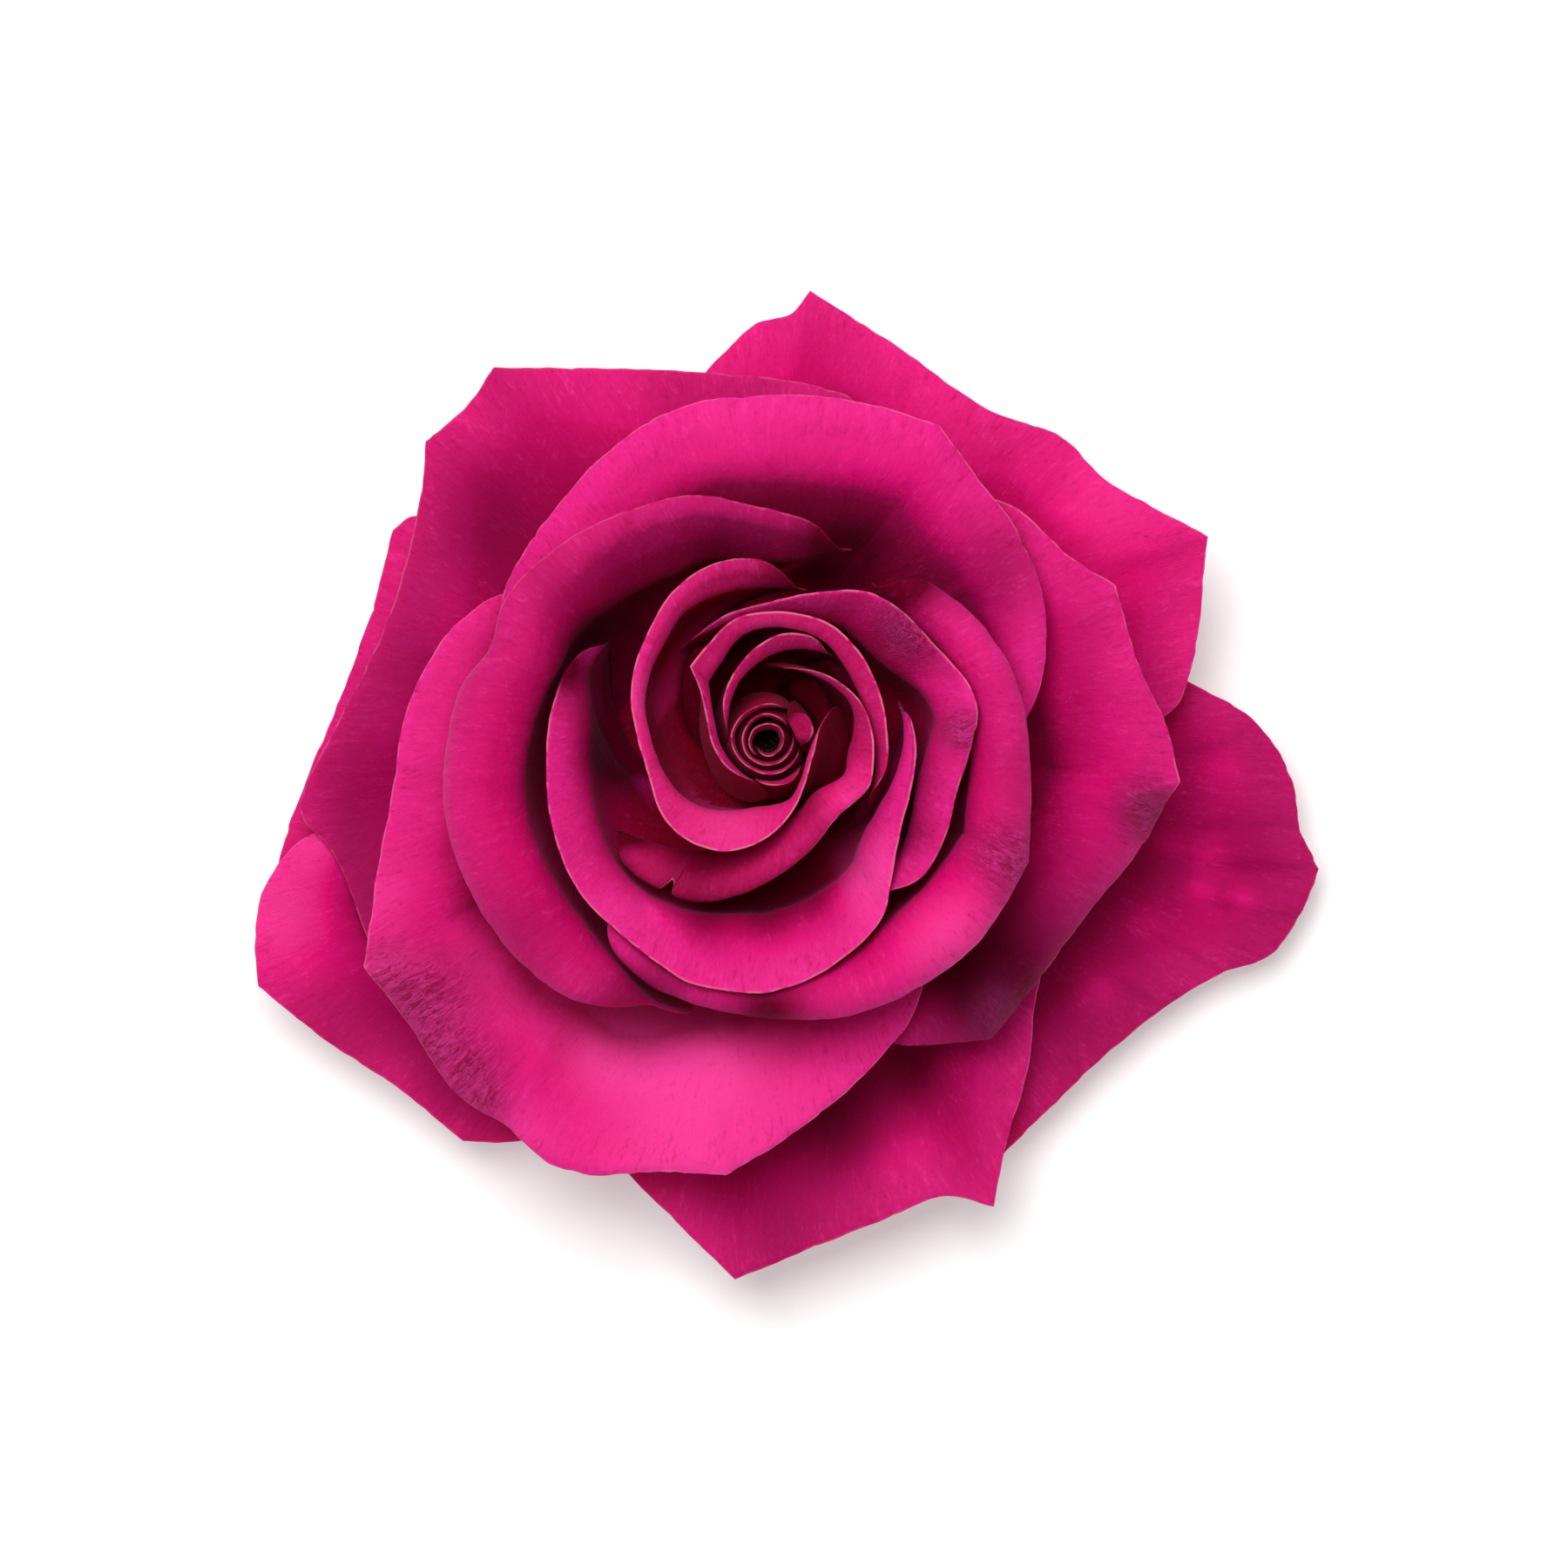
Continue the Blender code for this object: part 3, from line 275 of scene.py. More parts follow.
        (0, 2, 5.6, 6, 13), (0, 6, 4, 0, 0), (-20, -40, -40, 6, 6), (0, 4, 6, -0.6, -0.6)), creases=(
        ((44.9, -4.4), (34, -3), 0.5, 3.6, 3.6), ((37.8, 16.9), (29, 12), 0.9, 2.6, 1.2),
        ((24.5, -32.7), (22, -22), 0.5, 2, 2)), wrinkles_and_shade=(
        (25, -29.5, 3), (41.3, -7.4, 2.4)), patches=(
        (30, -20, 8, -0.35), (24, -27, 8.5, -0.85), (41.5, -8, 3, -0.4), (33, 0, 5, -0.1))),
    Petal("guard_petal_upper_left", "GUARD", 0.96, tone=-0.38, corners=(4, 6), sides=(0.6, 1), rim=(
        (12.3, 36.7, 20.6, 8), (5.6, 38.9, 21.4, 10), (-6.7, 40.4, 21.6, 12), (-18.2, 40.9, 21.4, 15),
        (-30.2, 41, 20.6, 19), (-33.3, 36.7, 19.6, 19), (-37.7, 33, 18.8, 20), (-38, 28.7, 18.2, 18),
        (-39.1, 23, 17.6, 17), (-41.1, 15.6, 17, 16), (-43.9, 8.9, 16.6, 16), (-47.8, 1.2, 16.2, 17),
        (-51.4, -8.4, 14.8, 19), (-48.4, -12, 14.6, 17), (-46.2, -16.4, 14.4, 14), (-44.4, -21.6, 14, 11),
        (-42.4, -26, 13.6, 9)), creases=(
        ((-29.9, 40.6), (-20, 26), 0.8, 3, 3), ((-37.3, 32.7), (-27, 22), -0.8, 3, 1.5)), patches=(
        (-26, 27, 8, -0.22), (-32, 20, 6, -0.2), (-40, 6, 8, -0.25), (-46, -9, 4, -0.15),
        (-45.5, -15, 6, -0.3), (-20, 38.5, 8, 0.25), (-33, 35, 4, 0.15))),
    Petal("guard_petal_bottom", "GUARD", 0.96, tone=-0.28, corners=(3, 7), rim=(
        (-22.3, -40.1, 13.8, 10), (-15.6, -47.6, 14.8, 12.6), (-9.7, -53.5, 15.4, 14.8),
        (-3.7, -59.4, 16, 17), (5.1, -55.7, 16.2, 17), (13.6, -52.4, 16.2, 17), (19.2, -50.2, 16, 17),
        (24.8, -51.3, 15.2, 17), (26.3, -43.9, 15.2, 15.4), (28.6, -36.2, 15.2, 13), (29.4, -28.8, 15.4, 11),
        (30.8, -22.3, 15.6, 9.4)), creases=(
        ((-3.7, -58.7), (2, -44), 0.7, 2.5, 2.5), ((24.5, -50.7), (20, -40), 0.6, 0.8, 3)), patches=(
        (0, -53, 9, -0.25), (8, -42, 7, -0.65), (15, -46, 5, 0.3), (16, -36.5, 4, -0.6))),
    Petal("guard_petal_upper_right", "GUARD", 1, tone=-0.08, corners=(2, 8), rim=(
        (44, 0.4, 14.2, 11), (46.6, 8.1, 15.6, 14), (48.4, 22.5, 17.4, 20), (42.7, 25.5, 17.8, 19),
        (37.1, 28.7, 17.8, 18.6), (32.7, 33.2, 17.8, 18.6), (24.5, 36.3, 17.8, 17), (14.6, 43.1, 17.8, 18),
        (4.6, 49.5, 17.8, 20), (2.8, 47.2, 17.4, 18), (-1.2, 46, 17, 17), (-5.3, 42.4, 16.6, 15),
        (-9.5, 37.9, 15.8, 12)), creases=(
        ((47.9, 22.3), (33, 19.6), 0.8, 1.4, 5), ((4.6, 49), (2, 36), 0.8, 3, 3),
        ((32.4, 32.8), (27, 24), 0.5, 1.2, 4)), patches=(
        (40, 27, 5, 0.15), (44, 13, 6, -0.15), (8, 43, 6, -0.15), (36, 24, 6, 0.2))),
    Petal("guard_petal_lower_left", "GUARD", 1, tone=-0.18, corners=(4, 7), rim=(
        (-49.9, -9.1, 13, 12), (-53.8, -13.2, 13.6, 14), (-56, -17.2, 13.8, 16), (-56.7, -22, 13.4, 17),
        (-56.4, -27.1, 12.6, 18), (-49.3, -32.9, 11.6, 18), (-41.4, -38.1, 10.8, 18),
        (-33.8, -44.2, 10.4, 17), (-28.4, -44.3, 10.6, 15), (-21.9, -42.8, 11, 12)), creases=(
        ((-54.5, -15), (-42, -26), 1, 3.4, 2), ((-33.3, -43.5), (-30, -34), 0.5, 2.5, 2.5)), patches=(
        (-53.5, -18.5, 6.5, 0.95), (-50.5, -11.5, 3, 0.6), (-44.5, -18, 4.5, -0.5), (-46, -31, 8, -0.45),
        (-36, -39, 6, -0.3))),
    Petal("guard_petal_right", "DROOPING", 1.25, tone=-0.45, corners=(1, 7), rim=(
        (21.8, -44.1, 8.4, 10), (26, -45.7, 8.4, 12), (36.6, -35.5, 8.2, 16), (44.2, -29.3, 7.8, 18),
        (50.9, -25.4, 7.2, 20), (55.4, -23.8, 6.6, 20), (58.8, -19.6, 6.4, 20), (61, -14.2, 6.8, 20),
        (59.2, -10.2, 7.2, 20), (58.2, -4.7, 7.8, 19), (53.3, 2.8, 8.6, 16), (46.8, 6.4, 9.4, 12),
        (41.7, 9.6, 10, 10)), creases=(
        ((58.6, -13.2), (42, -12.2), 1, 0.9, 3), ((57.6, -18.6), (44, -16.2), 0.8, 0.8, 2.6),
        ((57, -8.4), (42, -8.2), 0.6, 1, 2.6), ((50.6, -24.6), (39, -18.6), 0.7, 0.9, 2.6),
        ((43.6, -28.4), (35, -23), 0.7, 1, 2.6), ((51, 1), (42, -2), 0.6, 1, 2.6)), patches=(
        (38, -26, 12, -0.1), (44, -11.2, 1.6, 0.4), (48.6, -12.8, 1.8, 0.35), (48, -16.6, 1.4, 0.4),
        (52.8, -17.6, 1.4, 0.35), (41.5, -20, 2.2, 0.3), (36.5, -27, 2.6, 0.3), (50, -3, 2.4, 0.3))),
    Petal("guard_petal_left", "DROOPING", 1.25, tone=-0.26, corners=(1,), rim=(
        (-37.7, 26.4, 12, 10), (-41.5, 23.3, 12.2, 13), (-44.1, 13.8, 11.4, 14), (-47.3, 4.9, 10.6, 15),
        (-51.2, -4.5, 9.6, 16), (-53.5, -10.6, 8.8, 16), (-54.3, -14, 8.4, 15), (-52.5, -18.9, 8, 12))),
)


# Lengths of the waves in a petal, longest and shortest, in millimetres.
CREST_WAVES, RIM_WAVES = (26, 7), (7, 1.5)
BROAD_WAVES, FINE_WAVES, TONE_WAVES = (26, 9), (5, 1.6), (30, 9)
WAVE_FADE = 6  # how far from a rim's end its waves reach their full height
NICK_SPACING = 9  # along a rim, between its small nicks
THICKENING, FOOT_THICKENING = 1.6, 3  # over how far a petal thickens from its margin, and from its foot
FOOT_EXTRA = 0.22  # thickness that a petal gains at its foot
UV_SIZE = 100  # millimetres in a unit of the blade's coordinates
PETAL_SEED, SEPAL_SEED = 11, 101
# Shares of a petal's colour: painted shade at its foot, for the recesses its low walls stand in; and painted
# shade where its tone is dark.
FOOT_SHADE_SHARE, DARK_SHARE = (0.45, 0.3, 0.15), (0.17, 0.08, 0.1)  # of a petal's colour, at its foot and in shade


def direction(degrees):
    """Outward and upward parts of a unit vector at an angle from level."""
    return np.cos(np.radians(degrees)), np.sin(np.radians(degrees))


def bell(distance, size):
    """1 at no distance, fading to nothing a few sizes away."""
    return np.exp(-((distance / size) ** 2))


def foot_of(place):
    """Radius and height of the middle of a petal's foot, just above the dome."""
    out, up = direction(90 * min(1.0, place))
    radius = DOME_INNER + (DOME_OUTER - DOME_INNER) * up
    height = HIP_TOP - DOME_RISE * (1 - out) - COLLAR_HEIGHT * max(0.0, place - 1)
    return radius + up * FOOT_RISE, height + out * FOOT_RISE


def smooth_path(points, corners, spacing):
    """Evenly spaced points on a smooth curve through the given ones, with a corner at each corner's index;
    and for each, its distance along the curve and its place in the list of given points."""
    points = np.array(points, float)
    steps = np.hypot(*np.diff(points[:, :2], axis=0).T)
    slopes = np.diff(points, axis=0) / steps[:, None]
    arriving, leaving = np.vstack((slopes[:1], slopes)), np.vstack((slopes, slopes[-1:]))
    before, after = np.append(steps[0], steps)[:, None], np.append(steps, steps[-1])[:, None]
    smooth = (arriving * after + leaving * before) / (before + after)
    hard = np.isin(np.arange(len(points)), corners)[:, None]
    arriving, leaving = np.where(hard, arriving, smooth), np.where(hard, leaving, smooth)
    knots = np.append(0.0, np.cumsum(steps))
    ends = knots[[0, *corners, -1]]
    runs = [
        np.linspace(start, stop, max(3, round((stop - start) / spacing)), endpoint=False)
        for start, stop in zip(ends, ends[1:])]
    positions = np.concatenate((*runs, knots[-1:]))
    index = np.clip(np.searchsorted(knots, positions, side="right") - 1, 0, len(steps) - 1)
    step = steps[index][:, None]
    t = (positions - knots[index])[:, None] / step
    path = (
        points[index] * (2 * t**3 - 3 * t**2 + 1) + leaving[index] * step * (t**3 - 2 * t**2 + t)
        + points[index + 1] * (3 * t**2 - 2 * t**3) + arriving[index + 1] * step * (t**3 - t**2))
    return path, positions, index + t[:, 0]


def waves(rng, x, y, longest, shortest, count=9):
    """Smooth noise of about unit size over a pair of coordinates, from waves of random heading and phase."""
    total = np.zeros(np.broadcast(x, y).shape)
    for _ in range(count):
        length = math.exp(rng.uniform(math.log(shortest), math.log(longest)))
        heading, phase = rng.uniform(0, math.tau), rng.uniform(0, math.tau)
        along = x * math.cos(heading) + y * math.sin(heading)
        total += np.sin(along * math.tau / length + phase) * (length / longest) ** 0.5
    return total / math.sqrt(count / 2)


def arc_points(angle_from, angle_to, radius, rows):
    """Rows of points after the start of an arc whose direction turns from one angle to the other."""
    share = np.arange(1, rows + 1)[:, None] / rows
    out_from, up_from = direction(angle_from)
    out, up = direction(angle_from + (angle_to - angle_from) * share)
    return radius * (up_from - up), radius * (out - out_from)


def profiles(form, place, belly, rim_radius, crest_height, width, lean, roll, curl):
    """Radius, height and share of the wall passed, for each row and column of a petal."""
    wall_rows, bend_rows, flare_rows, curl_rows = form.rows
    opening = form.opening * (rim_radius - width)
    wall = form.wall - WALL_OPENING * opening
    (wall_out, wall_up), (lean_out, lean_up) = direction(wall), direction(lean)
    widest = direction(np.maximum(roll, -90))[1]
    turned = form.bend * abs(wall_up - lean_up) + curl * (lean_up - widest)
    share = np.minimum(1.0, 0.92 * width / turned)
    flat = (width - turned * share) / lean_out
    bend_r, bend_z = arc_points(wall, lean, form.bend * share, bend_rows)
    steps = np.arange(1, flare_rows + 1)[:, None] / flare_rows
    flare_r, flare_z = bend_r[-1] + lean_out * flat * steps, bend_z[-1] + lean_up * flat * steps
    curl_r, curl_z = arc_points(lean, roll, curl * share, curl_rows)
    crest_angle = np.minimum(lean, np.maximum(0.0, roll))
    crest = flare_z[-1] + curl * share * (direction(crest_angle)[0] - lean_out)
    top_r, top_z = rim_radius - width, crest_height - crest
    foot_r, foot_z = foot_of(place)
    chord = np.hypot(top_r - foot_r, top_z - foot_z)
    rise_out, rise_up = direction(form.rise - RISE_OPENING * opening)
    reach = (form.reach + REACH_OPENING * opening) * chord
    low_r, low_z = foot_r + rise_out * reach, foot_z + rise_up * reach
    high_r, high_z = top_r - wall_out * form.stand * chord, top_z - wall_up * form.stand * chord
    high_z = np.maximum(high_z, np.minimum(low_z, top_z))
    t = np.linspace(0, 1, wall_rows + 1)[:, None]
    s = 1 - t
    foot_part, low_part, high_part, top_part = s**3, 3 * s * s * t, 3 * s * t * t, t**3
    wall_r = foot_r * foot_part + (low_r + belly) * low_part + (high_r + belly) * high_part + top_r * top_part
    wall_z = foot_z * foot_part + low_z * low_part + high_z * high_part + top_z * top_part
    radius = np.vstack((wall_r, top_r + bend_r, top_r + flare_r, top_r + flare_r[-1] + curl_r))
    height = np.vstack((wall_z, top_z + bend_z, top_z + flare_z, top_z + flare_z[-1] + curl_z))
    passed = np.vstack((t, np.ones((len(radius) - len(t), 1)))) * np.ones_like(top_r)
    return radius, height, passed


def distances(points, axis):
    """Distance from the first row or column of a grid of points, along it."""
    steps = np.linalg.norm(np.diff(points, axis=axis), axis=-1)
    start = np.zeros_like(np.take(steps, [0], axis=axis))
    return np.concatenate((start, np.cumsum(steps, axis=axis)), axis=axis)


def unit(vectors):
    """The same vectors, one long."""
    return vectors / np.maximum(np.linalg.norm(vectors, axis=-1, keepdims=True), 1e-12)


def normals_of(points):
    """Unit normals of a grid of points, towards the back of a petal."""
    return unit(np.cross(np.gradient(points, axis=1), np.gradient(points, axis=0)))


def petal_blade(petal, form, seed, spacing):
    """A petal's middle surface as a grid of points in millimetres, and what its thickness and finish need."""
    rng = np.random.default_rng(seed)
    path, distance, index = smooth_path(petal.rim, petal.corners, spacing)
    x, y, crest, width = path.T
    length, last = distance[-1], len(petal.rim) - 1
    wave = form.waviness * np.minimum(1.0, np.minimum(distance, length - distance) / WAVE_FADE)
    crest = crest + wave * waves(rng, distance, 0.0, *CREST_WAVES)
    rim_radius = np.hypot(x, y) + 0.25 * wave * waves(rng, distance, 0.0, *RIM_WAVES)
    for nick in rng.uniform(0, length, round(length / NICK_SPACING)):
        rim_radius -= rng.uniform(0.1, 0.5) * form.waviness * bell(distance - nick, rng.uniform(0.25, 0.6))
    at, leans, rolls, curls = petal.shape
    lean = form.lean + np.interp(index, at, leans)
    roll = np.minimum(form.roll + np.interp(index, at, rolls), lean - 2)
    curl = form.curl + np.interp(index, at, curls)
    belly = np.interp(index, (0, last), petal.bellies)
    grids = profiles(form, petal.place, belly, rim_radius, crest, width, lean, roll, curl)
    lengths = distances(np.stack(grids[:2], axis=-1), 0)
    first_side, last_side = petal.sides or (form.side_span, form.side_span)
    first = np.interp(first_side, index, distance)
    from_side = (length - distance) / (length - np.interp(last - last_side, index, distance))
    from_side = np.minimum(1.0, np.minimum(distance / first, from_side))
    reach = form.side_reach + (1 - form.side_reach) * np.sqrt(1 - (1 - from_side) ** 2)
    for place, depth, half in petal.nicks:
        reach = reach - depth * bell(distance - np.interp(place, index, distance), half) / lengths[-1]
    for column in range(len(distance)):
        wanted = lengths[:, column] * reach[column]
        for grid in grids:
            grid[:, column] = np.interp(wanted, lengths[:, column], grid[:, column])
    radius, height, passed = grids
    angle = np.unwrap(np.arctan2(y, x))
    middle = (angle[0] + angle[-1]) / 2
    foot_share = form.foot_width / foot_of(petal.place)[0] / (angle[-1] - angle[0])
    fan = foot_share + (1 - foot_share) * np.sin(np.pi / 2 * passed)
    turned = middle + (angle - middle) * fan
    points = np.stack((AXIS_X + radius * np.cos(turned), AXIS_Y + radius * np.sin(turned), height), axis=-1)
    return points, distance, from_side, rng


def ripple(points, form, rng):
    """The petal's surface with soft waves that grow towards the margin, and fine ones all over."""
    up, across = distances(points, 0), distances(points, 1)
    grown = np.clip(up / up[-1].max(), 0, 1) ** 2
    broad = waves(rng, across * 0.7, up, *BROAD_WAVES) * form.waviness * 0.6 * grown
    fine = waves(rng, across, up * 0.35, *FINE_WAVES) * (0.02 + 0.05 * form.waviness) * grown
    return points + normals_of(points) * (broad + fine)[..., None]


def crease(points, start, stop, height, left, right):
    """Raise (or lower) the surface along a line in plan, fading to its sides and to its second point."""
    line = np.subtract(stop, start)
    size = np.hypot(*line)
    offset = points[..., :2] - np.array((AXIS_X, AXIS_Y)) - start
    along = (offset @ line) / size
    across = (offset[..., 1] * line[0] - offset[..., 0] * line[1]) / size
    ends = np.clip(1 + along / max(left, right), 0, 1) * np.clip((size - along) / (0.6 * size), 0, 1)
    raised = points.copy()
    raised[..., 2] += height * bell(across, np.where(across > 0, left, right)) * ends * ends * (3 - 2 * ends)
    return raised


def patch(points, x, y, size):
    """1 in the middle of a round place in plan, and 0 outside it."""
    return np.exp(-((points[..., 0] - AXIS_X - x) ** 2 + (points[..., 1] - AXIS_Y - y) ** 2) / size**2)


def new_mesh(name, vertices, faces):
    """A smooth mesh from points in millimetres."""
    mesh = bpy.data.meshes.new(name)
    mesh.from_pydata((vertices * MM).tolist(), [], faces)
    mesh.shade_smooth()
    return mesh


def shell_mesh(name, points, thickness, uv, attributes):
    """A closed thin body round a grid of points in millimetres: a back, a front and a rounded edge."""
    normal = normals_of(points).reshape(-1, 3)
    flat, half = points.reshape(-1, 3), thickness.reshape(-1, 1) / 2
    count = len(flat)
    cell = np.arange(count).reshape(points.shape[:2])
    loop = np.concatenate((cell[0, :-1], cell[:-1, -1], cell[-1, :0:-1], cell[:0:-1, 0]))
    tangent = np.roll(flat[loop], -1, axis=0) - np.roll(flat[loop], 1, axis=0)
    edge = flat[loop] + unit(np.cross(tangent, normal[loop])) * half[loop]
    corners = (cell[:-1, :-1], cell[:-1, 1:], cell[1:, 1:], cell[1:, :-1])
    back_faces = np.stack(corners, axis=-1).reshape(-1, 4)
    ring, next_loop = np.arange(len(loop)) + 2 * count, np.roll(loop, -1)
    next_ring = np.roll(ring, -1)
    outer = np.stack((loop, ring, next_ring, next_loop), axis=-1)
    inner = np.stack((ring, loop + count, next_loop + count, next_ring), axis=-1)
    faces = np.concatenate((back_faces, back_faces[:, ::-1] + count, outer, inner)).tolist()
    mesh = new_mesh(name, np.concatenate((flat + normal * half, flat - normal * half, edge)), faces)
    each = np.concatenate((np.arange(count), np.arange(count), loop))
    corner = np.empty(len(mesh.loops), np.int32)
    mesh.loops.foreach_get("vertex_index", corner)
    layer = mesh.uv_layers.new(name="blade")
    layer.data.foreach_set("uv", uv.reshape(-1, 2)[each][corner].astype(np.float32).ravel())
    values = {"back": np.repeat((1.0, 0.0, 0.5), (count, count, len(loop)))}
    values.update((key, grid.reshape(-1)[each]) for key, grid in attributes.items())
    for key, value in values.items():
        mesh.attributes.new(key, "FLOAT", "POINT").data.foreach_set("value", value.astype(np.float32))
    mesh.validate()
    return mesh


def add_piece(name, mesh, finish, node):
    """Put a finished mesh in the scene in place of the frame's node."""
    mesh.materials.clear()
    mesh.materials.append(finish)
    piece = bpy.data.objects.new(name, mesh)
    bpy.context.scene.collection.objects.link(piece)
    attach(piece, "root")
    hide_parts(node)


class Value:
    """A socket in a node tree that can stand in plain arithmetic."""

    def __init__(self, nodes, socket):
        self.nodes, self.socket = nodes, socket


for sign, operation in (
        ("add", "ADD"), ("sub", "SUBTRACT"), ("mul", "MULTIPLY"), ("truediv", "DIVIDE"), ("pow", "POWER")):
    setattr(Value, f"__{sign}__", lambda self, other, kind=operation: self.nodes.math(kind, self, other))
    setattr(Value, f"__r{sign}__", lambda self, other, kind=operation: self.nodes.math(kind, other, self))


class Nodes:
    """A node tree being written: a shader's, or a Geometry Nodes group's."""

    def __init__(self, tree):
        self.tree = tree

    def fill(self, node, sockets):
        """Give a node's sockets their values or links."""
        for key, value in sockets.items():
            if isinstance(value, Value):
                self.tree.links.new(value.socket, node.inputs[key])
            else:
                node.inputs[key].default_value = value

    def make(self, kind, settings, sockets, output=0):
        """A node of a kind, with its settings, then its sockets' values or links; and one output of it."""
        node = self.tree.nodes.new(kind)
        for key, value in settings.items():
            setattr(node, key, value)
        self.fill(node, sockets)
        return Value(self, node.outputs[output])

    def math(self, operation, a, b=0.0):
        return self.make("ShaderNodeMath", {"operation": operation}, {0: a, 1: b})

    def vector_math(self, operation, a, b, socket=1):
        return self.make("ShaderNodeVectorMath", {"operation": operation}, {0: a, socket: b})

    def vector(self, x=0.0, y=0.0, z=0.0):
        return self.make("ShaderNodeCombineXYZ", {}, {0: x, 1: y, 2: z})

    def mix(self, factor, a, b):
        """Colour a turned into colour b by a factor."""
        a, b = (color if isinstance(color, Value) else (*color, 1.0) for color in (a, b))
        settings = {"data_type": "RGBA", "clamp_factor": True}
        return self.make("ShaderNodeMix", settings, {0: factor, 6: a, 7: b}, output=2)

    def ramp(self, value, stops):
        """Colours by a value, from positions and colours."""
        result = self.make("ShaderNodeValToRGB", {}, {0: value})
        elements = result.socket.node.color_ramp.elements
        for _ in stops[2:]:
            elements.new(0.5)
        for element, (position, color) in zip(elements, stops):
            element.position, element.color = position, (*color, 1.0)
        return result

    def step(self, value, start, stop):
        """0 below start and 1 above stop, smooth between them; start may lie above stop."""
        if start > stop:
            return 1.0 - self.step(value, stop, start)
        settings = {"interpolation_type": "SMOOTHSTEP"}
        return self.make("ShaderNodeMapRange", settings, {0: value, 1: start, 2: stop, 3: 0.0, 4: 1.0})

    def noise(self, vector, scale, detail, roughness, distortion=0.0, scales=None, output=0):
        """Noise over coordinates, or over coordinates first stretched by their own scales."""
        vector = self.vector_math("MULTIPLY", vector, scales) if scales else vector
        return self.make("ShaderNodeTexNoise", {}, {
            "Vector": vector, "Scale": scale, "Detail": detail, "Roughness": roughness,
            "Distortion": distortion}, output)

    def bump(self, height, distance, strength=0.5):
        sockets = {"Strength": strength, "Distance": distance, "Height": height}
        return self.make("ShaderNodeBump", {}, sockets)

    def attribute(self, name):
        return self.make("ShaderNodeAttribute", {"attribute_name": name}, {}, output=2)

    def blade(self):
        """The blade's own coordinates."""
        return self.make("ShaderNodeUVMap", {"uv_map": "blade"}, {})

    def place(self):
        """The object's coordinates."""
        return self.make("ShaderNodeTexCoord", {}, {}, output=3)

    def random(self, low, high, seed):
        sockets = {2: low, 3: high, "Seed": seed}
        return self.make("FunctionNodeRandomValue", {"data_type": "FLOAT"}, sockets, output=1)

    def join(self, *parts):
        join = self.tree.nodes.new("GeometryNodeJoinGeometry")
        for part in parts:
            self.tree.links.new(part.socket, join.inputs[0])
        return Value(self, join.outputs[0])


def new_finish(name):
    """A material with only a Principled BSDF, its node tree's writer, and the shader node."""
    finish = bpy.data.materials.new(name)
    finish.use_nodes = True
    return finish, Nodes(finish.node_tree), finish.node_tree.nodes["Principled BSDF"]


